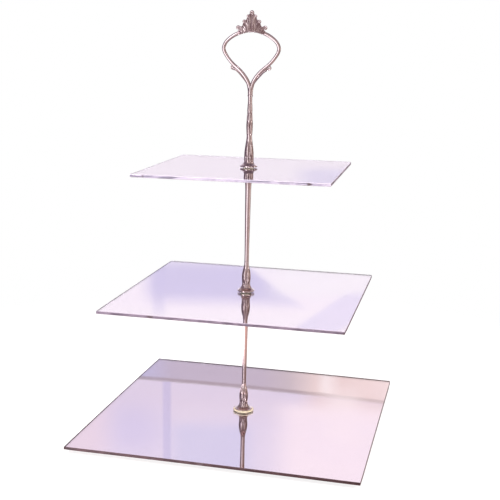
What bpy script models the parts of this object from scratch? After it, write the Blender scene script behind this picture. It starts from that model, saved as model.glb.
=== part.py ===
"""Three-tier serving stand: square mirror plates threaded on a cast metal column with a crowned handle.

Every size is in millimetres and is scaled to metres where a mesh is made. The stand is built up the
Z axis from the undersides of its feet, with the column on X = Y = 0 and the plates' front edges
facing -Y. Stacked pieces are GAP apart, and each piece's height follows from the ones below it.
"""

from math import cos, pi, radians, sin

import bmesh
import bpy
from mathutils import Matrix, Vector

MM = 0.001
GAP = 0.3

# Plates
BASE_SIDE = 300.0
MIDDLE_SIDE = 250.0
TOP_SIDE = 200.0
PLATE_THICKNESS = 3.0
PLATE_HOLE_CLEARANCE = 0.6
PLATE_EDGE_CHAMFER = 0.3
PLATE_SEGMENTS = 32
# How far each upper tier stands turned from the base plate's front, in degrees
MIDDLE_TURN = 0.5
TOP_TURN = 2.0

# Feet
FOOT_HEIGHT = 6.0
FOOT_TOP_R = 6.4
FOOT_BOTTOM_R = 5.0
FOOT_INSET = 26.0

# Washers
CUSHION_THICKNESS = 1.0
CUSHION_R = 6.2
BASE_CUSHION_R = 11.4
BOLT_WASHER_R = 4.5
BOLT_WASHER_THICKNESS = 0.8

# Fasteners and the blind holes they screw into
THREAD_R = 2.0
THREAD_REACH = 8.0
THREAD_CHAMFER = 0.4
THREAD_CLEARANCE = 0.3
BORE_R = THREAD_R + THREAD_CLEARANCE
BORE_DEPTH = THREAD_REACH + 0.6
BOLT_HEAD_R = 4.0
BOLT_HEAD_HEIGHT = 2.4
BOLT_HEAD_ROUND = 0.7
SOCKET_ACROSS_FLATS = 2.5
SOCKET_DEPTH = 1.3

# Column
SPACER_LENGTH = 130.0
FLANGE_R = 9.4
FLANGE_RIM = 1.4
FLANGE_HEIGHT = FLANGE_RIM + 3.0
BULB_R = 4.6
BULB_TOP = 27.0
WAIST_R = 2.5
ROD_R = 3.1
TOP_PAD_R = 4.8
TOP_FLARE = 17.0
LOBES = 6
LOBE_DEPTH = 0.3
ROUND_SEGMENTS = 24

# Handle
STEM_BULB_R = 5.0
STEM_BULB_TOP = 28.5
STEM_WAIST_R = 3.1
STEM_KNOP_R = 3.3
STEM_NECK_R = 2.6
STEM_LENGTH = 86.5
LOOP_HEIGHT = 55.4
LOOP_HALF_WIDTH = 29.7
LOOP_ROD_R = 2.0
LOOP_ROD_SIDES = 10
# The arms run into each other at both ends, so their facets and end faces are kept apart
ARM_ROOT_DEPTH = {"left": 14.5, "right": 12.8}
ARM_TURN = {"left": 0.5, "right": 0.25}
SCROLL_R = 1.5
SCROLL_END_R = 2.05
CROWN_HEIGHT = 21.8
CROWN_HALF_WIDTH = 16.5
CROWN_SINK = 1.3
CROWN_THICKNESS = 3.4
CROWN_CHAMFER = 0.3
KNOB_SEGMENTS = 12

# Each leaf end of the crown's right side: its centre as shares of the crown's half width and
# height, its radius, and the outline's angles where its arc starts and stops
CROWN_LEAVES = (
    (0.873, 0.175, 1.95, -55.0, 100.0),
    (0.485, 0.462, 1.65, -35.0, 110.0),
    (0.236, 0.717, 1.4, -20.0, 100.0),
)
CROWN_TIP_R = 2.5
KNOB_PROUD = 0.15

# Sizes that follow, and heights from the table up
PLATE_HOLE_R = THREAD_R + PLATE_HOLE_CLEARANCE
CROWN_BASE = STEM_LENGTH + LOOP_HEIGHT - CROWN_SINK
CROWN_TIP = CROWN_BASE + CROWN_HEIGHT
BASE_PLATE_Z = FOOT_HEIGHT + GAP
UNDER_CUSHION_Z = BASE_PLATE_Z - GAP - CUSHION_THICKNESS
BOLT_WASHER_Z = UNDER_CUSHION_Z - GAP - BOLT_WASHER_THICKNESS
BOLT_HEAD_TOP_Z = BOLT_WASHER_Z - GAP
BASE_CUSHION_Z = BASE_PLATE_Z + PLATE_THICKNESS + GAP
LOWER_SPACER_Z = BASE_CUSHION_Z + CUSHION_THICKNESS + GAP
TIER_RISE = SPACER_LENGTH + PLATE_THICKNESS + 2 * CUSHION_THICKNESS + 4 * GAP
UPPER_SPACER_Z = LOWER_SPACER_Z + TIER_RISE
HANDLE_Z = UPPER_SPACER_Z + TIER_RISE


def clear_scene():
    """Removes whatever objects the scene already holds."""
    for item in list(bpy.data.objects):
        bpy.data.objects.remove(item, do_unlink=True)


def make_material(name, color, metallic, roughness):
    """Makes one Principled material."""
    material = bpy.data.materials.new(name)
    material.use_nodes = True
    shader = material.node_tree.nodes["Principled BSDF"]
    shader.inputs["Base Color"].default_value = (*color, 1.0)
    shader.inputs["Metallic"].default_value = metallic
    shader.inputs["Roughness"].default_value = roughness
    return material


def make_object(name, bm, material, z=0.0, x=0.0, y=0.0):
    """Turns a bmesh in millimetres into a named object standing at x, y, z."""
    bmesh.ops.recalc_face_normals(bm, faces=bm.faces)
    bmesh.ops.scale(bm, vec=(MM, MM, MM), verts=bm.verts)
    mesh = bpy.data.meshes.new(name)
    bm.to_mesh(mesh)
    bm.free()
    mesh.shade_smooth()
    mesh.set_sharp_from_angle(angle=radians(35))
    mesh.materials.append(material)
    item = bpy.data.objects.new(name, mesh)
    item.location = (x * MM, y * MM, z * MM)
    bpy.context.scene.collection.objects.link(item)
    return item


def turned(profile, segments=ROUND_SEGMENTS):
    """Spins a closed (radius, height) outline about Z. Points on the axis become poles."""
    bm = bmesh.new()
    verts = [bm.verts.new((r, 0.0, z)) for r, z in profile]
    edges = [bm.edges.new(pair) for pair in zip(verts, verts[1:])]
    if profile[0][0] > 0.0:
        edges.append(bm.edges.new((verts[-1], verts[0])))
    bmesh.ops.spin(
        bm, geom=verts + edges, cent=(0, 0, 0), axis=(0, 0, 1), angle=2 * pi, steps=segments
    )
    bmesh.ops.remove_doubles(bm, verts=bm.verts, dist=0.001)
    return bm


def add_lobes(bm, low, high, inner_r):
    """Presses shallow grooves between leaf-shaped lobes into the skin outside inner_r."""
    for vert in bm.verts:
        radius = Vector(vert.co.xy).length
        if radius <= inner_r or not low < vert.co.z < high:
            continue
        share = (vert.co.z - low) / (high - low)
        angle = vert.co.xy.angle_signed(Vector((1.0, 0.0)))
        depth = LOBE_DEPTH * sin(pi * share) * (0.5 - 0.5 * cos(LOBES * angle))
        vert.co.xy *= (radius - depth) / radius


def square_plate(name, side, z, material, turn=0.0):
    """A flat square sheet with a centre hole and lightly chamfered outer edges, turned by some degrees."""
    bm = bmesh.new()
    half = side / 2
    inner, outer = [], []
    for step in range(PLATE_SEGMENTS):
        direction = Vector((cos(2 * pi * step / PLATE_SEGMENTS), sin(2 * pi * step / PLATE_SEGMENTS)))
        reach = half / max(abs(direction.x), abs(direction.y))
        inner.append(bm.verts.new((*(direction * PLATE_HOLE_R), 0.0)))
        outer.append(bm.verts.new((*(direction * reach), 0.0)))
    for step in range(PLATE_SEGMENTS):
        after = (step + 1) % PLATE_SEGMENTS
        bm.faces.new((inner[step], outer[step], outer[after], inner[after]))
    grown = bmesh.ops.extrude_face_region(bm, geom=list(bm.faces))["geom"]
    lifted = [item for item in grown if isinstance(item, bmesh.types.BMVert)]
    bmesh.ops.translate(bm, verts=lifted, vec=(0, 0, PLATE_THICKNESS))
    bmesh.ops.recalc_face_normals(bm, faces=bm.faces)
    rim = [edge for edge in bm.edges if on_rim(edge, half)]
    bmesh.ops.bevel(bm, geom=rim, offset=PLATE_EDGE_CHAMFER, segments=1, affect="EDGES")
    bmesh.ops.rotate(bm, matrix=Matrix.Rotation(radians(turn), 3, "Z"), verts=bm.verts)
    return make_object(name, bm, material, z)


def on_rim(edge, half):
    """Whether a horizontal edge runs along the outside of a square plate."""
    first, second = (vert.co for vert in edge.verts)
    level = abs(first.z - second.z) < MM
    outside = min(max(abs(co.x), abs(co.y)) for co in (first, second)) > half - MM
    return level and outside


def foot(name, x, y, material):
    """A clear bumper foot: a short cone with a rounded lower edge."""
    profile = [
        (0.0, 0.0),
        (FOOT_BOTTOM_R, 0.0),
        (FOOT_BOTTOM_R + 0.6, 0.25),
        (FOOT_BOTTOM_R + 0.9, 0.9),
        (FOOT_TOP_R, FOOT_HEIGHT),
        (0.0, FOOT_HEIGHT),
    ]
    return make_object(name, turned(profile), material, 0.0, x, y)


def washer(name, outer_r, thickness, z, material):
    """A flat ring with eased outer corners."""
    ease = 0.25 * thickness
    profile = [
        (BORE_R, 0.0),
        (outer_r - ease, 0.0),
        (outer_r, ease),
        (outer_r, thickness - ease),
        (outer_r - ease, thickness),
        (BORE_R, thickness),
    ]
    return make_object(name, turned(profile), material, z)


def base_bolt(material):
    """The bolt from below: a rounded head with a hexagon socket, and a shank up into the column."""
    shank_top = LOWER_SPACER_Z + THREAD_REACH - BOLT_HEAD_TOP_Z
    profile = [
        (0.0, -BOLT_HEAD_HEIGHT),
        (BOLT_HEAD_R - BOLT_HEAD_ROUND, -BOLT_HEAD_HEIGHT),
        (BOLT_HEAD_R - 0.2, 0.35 * BOLT_HEAD_ROUND - BOLT_HEAD_HEIGHT),
        (BOLT_HEAD_R, BOLT_HEAD_ROUND - BOLT_HEAD_HEIGHT),
        (BOLT_HEAD_R, 0.0),
        (THREAD_R, 0.0),
        (THREAD_R, shank_top - THREAD_CHAMFER),
        (THREAD_R - THREAD_CHAMFER, shank_top),
        (0.0, shank_top),
    ]
    bolt = make_object("base_bolt", turned(profile), material, BOLT_HEAD_TOP_Z)
    socket = bmesh.new()
    bmesh.ops.create_cone(
        socket,
        cap_ends=True,
        segments=6,
        radius1=SOCKET_ACROSS_FLATS / (2 * cos(pi / 6)),
        radius2=SOCKET_ACROSS_FLATS / (2 * cos(pi / 6)),
        depth=2 * SOCKET_DEPTH,
    )
    cutter = make_object("bolt_socket_cutter", socket, material, BOLT_HEAD_TOP_Z - BOLT_HEAD_HEIGHT)
    combine(bolt, cutter, "DIFFERENCE")
    return bolt


def combine(item, other, operation):
    """Adds an exact Boolean against another object, which then shows only as a wire."""
    other.hide_render = True
    other.display_type = "WIRE"
    boolean = item.modifiers.new(other.name, "BOOLEAN")
    boolean.operation = operation
    boolean.solver = "EXACT"
    boolean.object = other


def stud(name, spacer_z, material):
    """A headless threaded rod from the column below a plate into the piece above it."""
    low = spacer_z - (TIER_RISE - SPACER_LENGTH) - THREAD_REACH
    length = spacer_z + THREAD_REACH - low
    profile = [
        (0.0, 0.0),
        (THREAD_R - THREAD_CHAMFER, 0.0),
        (THREAD_R, THREAD_CHAMFER),
        (THREAD_R, length - THREAD_CHAMFER),
        (THREAD_R - THREAD_CHAMFER, length),
        (0.0, length),
    ]
    return make_object(name, turned(profile), material, low)


def flange_profile():
    """The blind hole and the domed flange that both spacers and the handle stand on."""
    return [
        (0.0, BORE_DEPTH),
        (BORE_R, BORE_DEPTH),
        (BORE_R, 0.0),
        (FLANGE_R - 0.3, 0.0),
        (FLANGE_R, 0.3),
        (FLANGE_R, FLANGE_RIM),
        (FLANGE_R - 0.7, FLANGE_RIM + 0.7),
        (FLANGE_R - 2.6, FLANGE_RIM + 1.6),
    ]


def stretch(low, high, shares):
    """Outline points between two heights, from (radius, share of the way up) pairs."""
    return [(radius, low + share * (high - low)) for radius, share in shares]


def bulb_profile(radius, waist, top):
    """The leaf-shaped swelling above a flange, narrowing to the waist at its top."""
    slim = radius - waist
    shares = (
        (radius + 0.6, 0.0),
        (radius - 0.2, 0.08),
        (radius - 0.3, 0.17),
        (radius - 0.1, 0.31),
        (radius, 0.47),
        (radius - 0.15 * slim, 0.65),
        (radius - 0.45 * slim, 0.82),
        (waist + 0.2 * slim, 1.0),
    )
    return stretch(FLANGE_HEIGHT, top, shares)


def spacer(name, z, material):
    """One length of the column: flange, lobed bulb, slender waist, and a rod that flares to its top."""
    flare = SPACER_LENGTH - TOP_FLARE
    rod = (
        (WAIST_R, 0.06),
        (WAIST_R, 0.2),
        (WAIST_R + 0.25, 0.41),
        (ROD_R - 0.2, 0.64),
        (ROD_R, 0.85),
        (ROD_R + 0.25, 1.0),
    )
    top = ((TOP_PAD_R - 0.9, 0.35), (TOP_PAD_R, 0.65), (TOP_PAD_R, 1.0))
    profile = (
        flange_profile()
        + bulb_profile(BULB_R, WAIST_R, BULB_TOP)
        + stretch(BULB_TOP, flare, rod)
        + stretch(flare, SPACER_LENGTH, top)
        + [
            (BORE_R, SPACER_LENGTH),
            (BORE_R, SPACER_LENGTH - BORE_DEPTH),
            (0.0, SPACER_LENGTH - BORE_DEPTH),
        ]
    )
    bm = turned(profile)
    add_lobes(bm, FLANGE_HEIGHT, BULB_TOP, BORE_R + 0.05)
    return make_object(name, bm, material, z)


def handle_stem():
    """The handle's turned stem, closed over where the two arms of the loop leave it."""
    shaft = (
        (STEM_WAIST_R, 0.11),
        (STEM_WAIST_R, 0.25),
        (STEM_KNOP_R, 0.35),
        (STEM_KNOP_R, 0.47),
        (STEM_WAIST_R - 0.1, 0.55),
        (STEM_NECK_R, 0.68),
        (STEM_NECK_R, 0.79),
        (STEM_NECK_R + 0.3, 0.83),
        (STEM_NECK_R + 0.1, 0.86),
        (STEM_NECK_R - 0.1, 0.92),
        (STEM_NECK_R - 1.0, 0.98),
        (0.0, 1.0),
    )
    profile = (
        flange_profile()
        + bulb_profile(STEM_BULB_R, STEM_WAIST_R, STEM_BULB_TOP)
        + stretch(STEM_BULB_TOP, STEM_LENGTH, shaft)
    )
    bm = turned(profile)
    add_lobes(bm, FLANGE_HEIGHT, STEM_BULB_TOP, BORE_R + 0.05)
    return bm


def smooth_path(points, per_span):
    """Catmull-Rom points through (x, z, radius) triples."""
    knots = [Vector(point) for point in points]
    knots = [2 * knots[0] - knots[1]] + knots + [2 * knots[-1] - knots[-2]]
    path = []
    for a, b, c, d in zip(knots, knots[1:], knots[2:], knots[3:]):
        for step in range(per_span):
            t = step / per_span
            path.append(
                0.5 * (2 * b + (c - a) * t + (2 * a - 5 * b + 4 * c - d) * t**2
                       + (3 * b - a - 3 * c + d) * t**3)
            )
    return path + [knots[-2]]


def swept_rod(points, side, per_span=2, sides=LOOP_ROD_SIDES, turn=0.5):
    """A round rod along a path in the XZ plane, with X times side, its rings turned by a share of a facet."""
    path = smooth_path(points, per_span)
    bm = bmesh.new()
    rings = []
    for index, (x, z, radius) in enumerate(path):
        before, after = path[max(index - 1, 0)], path[min(index + 1, len(path) - 1)]
        along = (after - before).xy.normalized()
        across = Vector((along.y, 0.0, -along.x))
        ring = []
        for step in range(sides):
            angle = 2 * pi * (step + turn) / sides
            spot = Vector((x, 0.0, z)) + radius * (cos(angle) * across + sin(angle) * Vector((0, 1, 0)))
            ring.append(bm.verts.new((side * spot.x, spot.y, spot.z)))
        rings.append(ring)
    for first, second in zip(rings, rings[1:]):
        for step in range(sides):
            after = (step + 1) % sides
            bm.faces.new((first[step], first[after], second[after], second[step]))
    bm.faces.new(rings[0])
    bm.faces.new(rings[-1])
    return bm


def loop_spot(width_share, height_share):
    """A spot on the loop, as shares of its half width and of its height above the fork."""
    return width_share * LOOP_HALF_WIDTH, STEM_LENGTH + height_share * LOOP_HEIGHT


def loop_arm_points(root_depth):
    """(x, z, radius) along one arm, from that far inside the stem round the shoulder to under the crown."""
    rooted = [
        (0.35, STEM_LENGTH - root_depth, STEM_NECK_R - 0.6),
        (0.5, STEM_LENGTH - 0.65 * root_depth, STEM_NECK_R - 0.5),
        (1.1, STEM_LENGTH - 3.5, LOOP_ROD_R + 0.3),
    ]
    shares = (
        (0.087, 0.027, 0.35),
        (0.162, 0.102, 0.35),
        (0.259, 0.173, 0.35),
        (0.374, 0.241, 0.35),
        (0.498, 0.302, 0.3),
        (0.63, 0.361, 0.25),
        (0.758, 0.43, 0.2),
        (0.875, 0.511, 0.1),
        (0.966, 0.593, 0.0),
        (1.0, 0.668, 0.0),
        (0.96, 0.741, 0.0),
        (0.875, 0.805, 0.05),
        (0.747, 0.864, 0.1),
        (0.599, 0.914, 0.1),
        (0.414, 0.955, 0.0),
        (0.202, 0.988, -0.1),
        (-0.05, 1.0, -0.3),
    )
    return rooted + [(*loop_spot(across, up), LOOP_ROD_R + extra) for across, up, extra in shares]


def scroll_points():
    """(x, z, radius) along the leaf scroll that curls out of a loop arm."""
    x, z = loop_spot(0.498, 0.302)
    return [
        (x - 2.2, z - 2.4, SCROLL_R - 0.2),
        (x + 0.2, z - 2.4, SCROLL_R),
        (x + 2.8, z - 1.7, SCROLL_R),
        (x + 5.4, z + 0.2, SCROLL_R),
    ]


def scroll_end(side):
    """The round end of a scroll."""
    x, z, _ = scroll_points()[-1]
    return knob(side * (x + 0.2), z + 0.2, SCROLL_END_R)


def arc(centre, radius, start, end, steps=4):
    """Points on an arc in the XZ plane, angles in degrees."""
    points = []
    for step in range(steps + 1):
        angle = radians(start + (end - start) * step / steps)
        points.append((centre[0] + radius * cos(angle), centre[1] + radius * sin(angle)))
    return points


def crown_leaf_centre(leaf):
    """Where one leaf end of the crown's right side is centred."""
    return leaf[0] * CROWN_HALF_WIDTH, CROWN_BASE + leaf[1] * CROWN_HEIGHT


def crown_half_outline():
    """The crown's right side from its base to its tip, one rounded leaf end after another."""
    points = [(0.0, CROWN_BASE), (0.79 * CROWN_HALF_WIDTH, CROWN_BASE - 1.0)]
    for leaf in CROWN_LEAVES:
        points += arc(crown_leaf_centre(leaf), *leaf[2:])
    return points + arc((0.0, CROWN_TIP - CROWN_TIP_R), CROWN_TIP_R - KNOB_PROUD, -10, 75)


def crown():
    """The leaf crown as a chamfered sheet with a scalloped outline."""
    half = crown_half_outline()
    outline = half + [(0.0, CROWN_TIP - KNOB_PROUD)] + [(-x, z) for x, z in reversed(half[1:])]
    bm = bmesh.new()
    face = bm.faces.new([bm.verts.new((x, -CROWN_THICKNESS / 2, z)) for x, z in outline])
    grown = bmesh.ops.extrude_face_region(bm, geom=[face])["geom"]
    moved = [item for item in grown if isinstance(item, bmesh.types.BMVert)]
    bmesh.ops.translate(bm, verts=moved, vec=(0, CROWN_THICKNESS, 0))
    bmesh.ops.recalc_face_normals(bm, faces=bm.faces)
    rims = [edge for edge in bm.edges if abs(edge.verts[0].co.y - edge.verts[1].co.y) < MM]
    bmesh.ops.bevel(bm, geom=rims, offset=CROWN_CHAMFER, segments=1, affect="EDGES")
    return bm


def knob(x, z, radius):
    """A ball on the loop's plane, a little deeper than it is wide."""
    bm = bmesh.new()
    bmesh.ops.create_uvsphere(bm, u_segments=KNOB_SEGMENTS, v_segments=8, radius=radius)
    bmesh.ops.scale(bm, vec=(1.0, 1.12, 1.0), verts=bm.verts)
    bmesh.ops.translate(bm, vec=(x, 0, z), verts=bm.verts)
    return bm


def vein():
    """The raised centre rib of the crown, tapering to its tip, with a bead hanging at its foot."""
    shares = ((-0.06, 1.0), (0.09, 1.7), (0.42, 2.3), (0.75, 2.1), (0.9, 1.6))
    return swept_rod([(0.0, CROWN_BASE + up * CROWN_HEIGHT, radius) for up, radius in shares], 1.0)


def handle(material):
    """The one-piece cast handle: stem, onion-shaped loop, two leaf scrolls and the crown."""
    cast = make_object("handle", handle_stem(), material, HANDLE_Z)
    sides = (("left", -1.0), ("right", 1.0))
    shapes = {
        f"handle_arm_{label}": swept_rod(loop_arm_points(ARM_ROOT_DEPTH[label]), side, turn=ARM_TURN[label])
        for label, side in sides
    }
    shapes["handle_crown"] = crown()
    shapes["handle_vein"] = vein()
    shapes["handle_tip"] = knob(0.0, CROWN_TIP - CROWN_TIP_R, CROWN_TIP_R)
    for label, side in sides:
        shapes[f"handle_scroll_{label}"] = swept_rod(scroll_points(), side, sides=8)
        shapes[f"handle_scroll_end_{label}"] = scroll_end(side)
        for number, leaf in enumerate(CROWN_LEAVES[:2]):
            x, z = crown_leaf_centre(leaf)
            shapes[f"handle_leaf_{number}_{label}"] = knob(side * x, z, leaf[2] + KNOB_PROUD)
    for name, bm in shapes.items():
        combine(cast, make_object(name, bm, material, HANDLE_Z), "UNION")
    return cast


def build_base(mirror, rubber, nylon, steel):
    """The base plate on its four feet, with the bolt and washers that hold the column to it."""
    reach = BASE_SIDE / 2 - FOOT_INSET
    for row, y in (("front", -reach), ("back", reach)):
        for column, x in (("left", -reach), ("right", reach)):
            foot(f"foot_{row}_{column}", x, y, rubber)
    square_plate("base_plate", BASE_SIDE, BASE_PLATE_Z, mirror)
    washer("base_under_cushion", CUSHION_R, CUSHION_THICKNESS, UNDER_CUSHION_Z, nylon)
    washer("bolt_washer", BOLT_WASHER_R, BOLT_WASHER_THICKNESS, BOLT_WASHER_Z, steel)
    washer("base_cushion", BASE_CUSHION_R, CUSHION_THICKNESS, BASE_CUSHION_Z, nylon)
    base_bolt(steel)


def build_tier(label, side, turn, spacer_z, mirror, nylon, steel):
    """A plate between two cushions, on the stud that joins the column pieces below and above it."""
    upper_z = spacer_z - GAP - CUSHION_THICKNESS
    plate_z = upper_z - GAP - PLATE_THICKNESS
    under_z = plate_z - GAP - CUSHION_THICKNESS
    square_plate(f"{label}_plate", side, plate_z, mirror, turn)
    washer(f"{label}_under_cushion", CUSHION_R, CUSHION_THICKNESS, under_z, nylon)
    washer(f"{label}_cushion", CUSHION_R, CUSHION_THICKNESS, upper_z, nylon)
    stud(f"{label}_stud", spacer_z, steel)


def main():
    """Builds the stand from the feet up."""
    clear_scene()
    mirror = make_material("mirror_acrylic", (0.86, 0.82, 0.88), 1.0, 0.04)
    silver = make_material("silver_plated_casting", (0.78, 0.74, 0.74), 1.0, 0.14)
    steel = make_material("zinc_plated_steel", (0.62, 0.62, 0.64), 1.0, 0.3)
    nylon = make_material("cream_nylon", (0.9, 0.85, 0.7), 0.0, 0.45)
    rubber = make_material("clear_bumper", (0.8, 0.81, 0.82), 0.0, 0.5)
    build_base(mirror, rubber, nylon, steel)
    spacer("lower_spacer", LOWER_SPACER_Z, silver)
    build_tier("middle", MIDDLE_SIDE, MIDDLE_TURN, UPPER_SPACER_Z, mirror, nylon, steel)
    spacer("upper_spacer", UPPER_SPACER_Z, silver)
    build_tier("top", TOP_SIDE, TOP_TURN, HANDLE_Z, mirror, nylon, steel)
    handle(silver)


main()
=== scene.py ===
"""Looks of a tiered cake stand: mirrored sheets, a cast column and a crowned loop handle.

Sizes inside the classes are millimetres above the foot of the piece they describe, and every
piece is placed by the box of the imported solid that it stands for.
"""

import logging
from collections.abc import Sequence
from dataclasses import dataclass, field
from enum import Enum
from functools import partial
from math import cos, pi, radians, sin, tau
from typing import Any

import bmesh
import bpy
import numpy as np
from mathutils import Matrix, Vector


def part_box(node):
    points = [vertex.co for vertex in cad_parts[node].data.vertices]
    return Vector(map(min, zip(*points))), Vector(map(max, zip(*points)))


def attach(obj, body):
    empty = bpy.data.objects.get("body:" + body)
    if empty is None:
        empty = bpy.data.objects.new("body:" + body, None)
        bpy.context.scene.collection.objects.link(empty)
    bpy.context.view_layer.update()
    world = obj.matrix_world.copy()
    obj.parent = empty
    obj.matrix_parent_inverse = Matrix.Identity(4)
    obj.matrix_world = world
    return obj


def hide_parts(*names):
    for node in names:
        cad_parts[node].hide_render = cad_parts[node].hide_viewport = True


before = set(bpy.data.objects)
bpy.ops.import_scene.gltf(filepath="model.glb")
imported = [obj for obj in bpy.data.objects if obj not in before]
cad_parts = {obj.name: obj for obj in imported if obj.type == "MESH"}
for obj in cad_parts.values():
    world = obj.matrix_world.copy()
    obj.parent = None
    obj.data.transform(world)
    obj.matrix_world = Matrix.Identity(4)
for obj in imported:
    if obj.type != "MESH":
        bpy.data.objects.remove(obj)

MM = 0.001
THREAD_PITCH = 0.7
THREAD_DEPTH = 0.4
SOFT_EDGE = 38.0
Color = tuple[float, float, float]
Outline = list[tuple[float, float]]
Faces = list[tuple[int, ...]]
Part = tuple[np.ndarray, Faces, np.ndarray]
Socket = bpy.types.NodeSocket

log = logging.getLogger("cake_stand")


# ---------------------------------------------------------------- node building


class NodeSheet:
    """Adds nodes to one node tree and wires them in few words."""

    def __init__(self, tree: bpy.types.NodeTree) -> None:
        """Keeps the tree that nodes are added to.

        Args:
            tree: A shader or geometry node tree.
        """
        self.tree = tree

    def add(self, kind: str, inputs: dict[Any, Any] | None = None, **settings: Any) -> bpy.types.Node:
        """Adds a node, sets its properties and fills or links its inputs.

        Args:
            kind: The node's type name.
            inputs: Input name or index to a value or to an output socket.
            **settings: The node's own properties.

        Returns:
            The new node.
        """
        node = self.tree.nodes.new(kind)
        for key, value in settings.items():
            setattr(node, key, value)
        for key, value in (inputs or {}).items():
            if isinstance(value, Socket):
                self.tree.links.new(value, node.inputs[key])
            else:
                node.inputs[key].default_value = value
        return node

    def calc(self, operation: str, *values: Any, clamp: bool = False) -> Socket:
        """A Math node's result.

        Args:
            operation: The Math node's operation.
            *values: Numbers or sockets, in input order.
            clamp: Whether the result is kept between 0 and 1.

        Returns:
            The result's socket.
        """
        inputs = dict(enumerate(values))
        return self.add("ShaderNodeMath", inputs, operation=operation, use_clamp=clamp).outputs[0]

    def product(self, *shares: Any) -> Socket:
        """The product of two or more values."""
        result = shares[0]
        for share in shares[1:]:
            result = self.calc("MULTIPLY", result, share)
        return result

    def rest(self, share: Any) -> Socket:
        """What a share leaves of 1."""
        return self.calc("SUBTRACT", 1.0, share)

    def step(self, value: Any, low: Any, high: Any) -> Socket:
        """A smooth rise from 0 at low to 1 at high."""
        inputs = {"Value": value, "From Min": low, "From Max": high}
        return self.add("ShaderNodeMapRange", inputs, interpolation_type="SMOOTHSTEP").outputs[0]

    def blend(self, share: Any, first: Any, second: Any) -> Socket:
        """A colour between two others."""
        node = self.add("ShaderNodeMix", {"Factor": share}, data_type="RGBA")
        for socket, value in ((node.inputs[6], first), (node.inputs[7], second)):
            if isinstance(value, Socket):
                self.tree.links.new(value, socket)
            else:
                socket.default_value = (*value, 1.0)
        return node.outputs[2]


def new_group(name: str, kind: str, inputs: dict[str, tuple], outputs: dict[str, str]) -> bpy.types.NodeTree:
    """An empty node group with named sockets.

    Args:
        name: The group's name.
        kind: ShaderNodeTree or GeometryNodeTree.
        inputs: Socket name to (socket type, default or None).
        outputs: Socket name to socket type.

    Returns:
        The group.
    """
    group = bpy.data.node_groups.new(name, kind)
    for label, (socket_type, default) in inputs.items():
        socket = group.interface.new_socket(label, in_out="INPUT", socket_type=socket_type)
        if default is not None:
            socket.default_value = default
    for label, socket_type in outputs.items():
        group.interface.new_socket(label, in_out="OUTPUT", socket_type=socket_type)
    return group


# ---------------------------------------------------------------- shared surface effects


def speckle_group() -> bpy.types.NodeTree:
    """The fine unevenness of a surface, as a height and as a patchy mask."""
    group = new_group(
        "fine_speckle",
        "ShaderNodeTree",
        {"Grain Size": ("NodeSocketFloat", 1.0), "Patch Size": ("NodeSocketFloat", 20.0)},
        {"Height": "NodeSocketFloat", "Patch": "NodeSocketFloat"},
    )
    sheet = NodeSheet(group)
    given = sheet.add("NodeGroupInput")
    place = sheet.add("ShaderNodeTexCoord").outputs["Object"]
    fine = sheet.add(
        "ShaderNodeTexNoise",
        {"Vector": place, "Scale": sheet.calc("DIVIDE", 1 / MM, given.outputs[0]), "Detail": 3.0},
    )
    broad = sheet.add(
        "ShaderNodeTexNoise",
        {"Vector": place, "Scale": sheet.calc("DIVIDE", 1 / MM, given.outputs[1]), "Detail": 2.0},
    )
    patch = sheet.step(broad.outputs[0], 0.35, 0.68)
    sheet.add("NodeGroupOutput", {"Height": fine.outputs[0], "Patch": patch})
    return group


def recess_shade_group() -> bpy.types.NodeTree:
    """Painted shade in a metal's hollows, from the depth that each mesh carries."""
    group = new_group(
        "painted_recess_shade",
        "ShaderNodeTree",
        {
            "Clean": ("NodeSocketColor", (0.8, 0.8, 0.8, 1.0)),
            "Dark": ("NodeSocketColor", (0.2, 0.15, 0.17, 1.0)),
            "Amount": ("NodeSocketFloat", 0.8),
            "Patch": ("NodeSocketFloat", 0.0),
        },
        {"Color": "NodeSocketColor", "Recess": "NodeSocketFloat"},
    )
    sheet = NodeSheet(group)
    given = sheet.add("NodeGroupInput")
    depth = sheet.add("ShaderNodeAttribute", attribute_name="recess").outputs["Fac"]
    uneven = sheet.calc("MULTIPLY_ADD", given.outputs["Patch"], 0.3, 0.85)
    share = sheet.calc("MULTIPLY", sheet.calc("MULTIPLY", depth, uneven), given.outputs["Amount"], clamp=True)
    tone = sheet.blend(share, given.outputs["Clean"], given.outputs["Dark"])
    sheet.add("NodeGroupOutput", {"Color": tone, "Recess": share})
    return group


def sawn_group() -> bpy.types.NodeTree:
    """The streaks along a sawn edge and its small chips."""
    plain = ("NodeSocketColor", (0.5, 0.5, 0.5, 1.0))
    group = new_group(
        "sawn_streaks",
        "ShaderNodeTree",
        {"Cloudy": plain, "Streak": plain, "Chip": plain},
        {"Color": "NodeSocketColor"},
    )
    sheet = NodeSheet(group)
    given = sheet.add("NodeGroupInput").outputs
    place = sheet.add("ShaderNodeTexCoord").outputs["Object"]
    squashed = sheet.add("ShaderNodeMapping", {0: place, "Scale": (1.0, 1.0, 16.0)}).outputs[0]
    long = sheet.add("ShaderNodeTexNoise", {"Vector": squashed, "Scale": 55.0, "Detail": 3.0}).outputs[0]
    spots = sheet.add("ShaderNodeTexNoise", {"Vector": place, "Scale": 95.0, "Detail": 1.0}).outputs[0]
    streaked = sheet.blend(sheet.step(long, 0.5, 0.62), given["Cloudy"], given["Streak"])
    sheet.add("NodeGroupOutput", {0: sheet.blend(sheet.step(spots, 0.68, 0.72), streaked, given["Chip"])})
    return group


class Effects:
    """The shader groups, each built once."""

    def __init__(self) -> None:
        """Builds the three groups."""
        self.speckle = speckle_group()
        self.recess = recess_shade_group()
        self.sawn = sawn_group()


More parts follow.
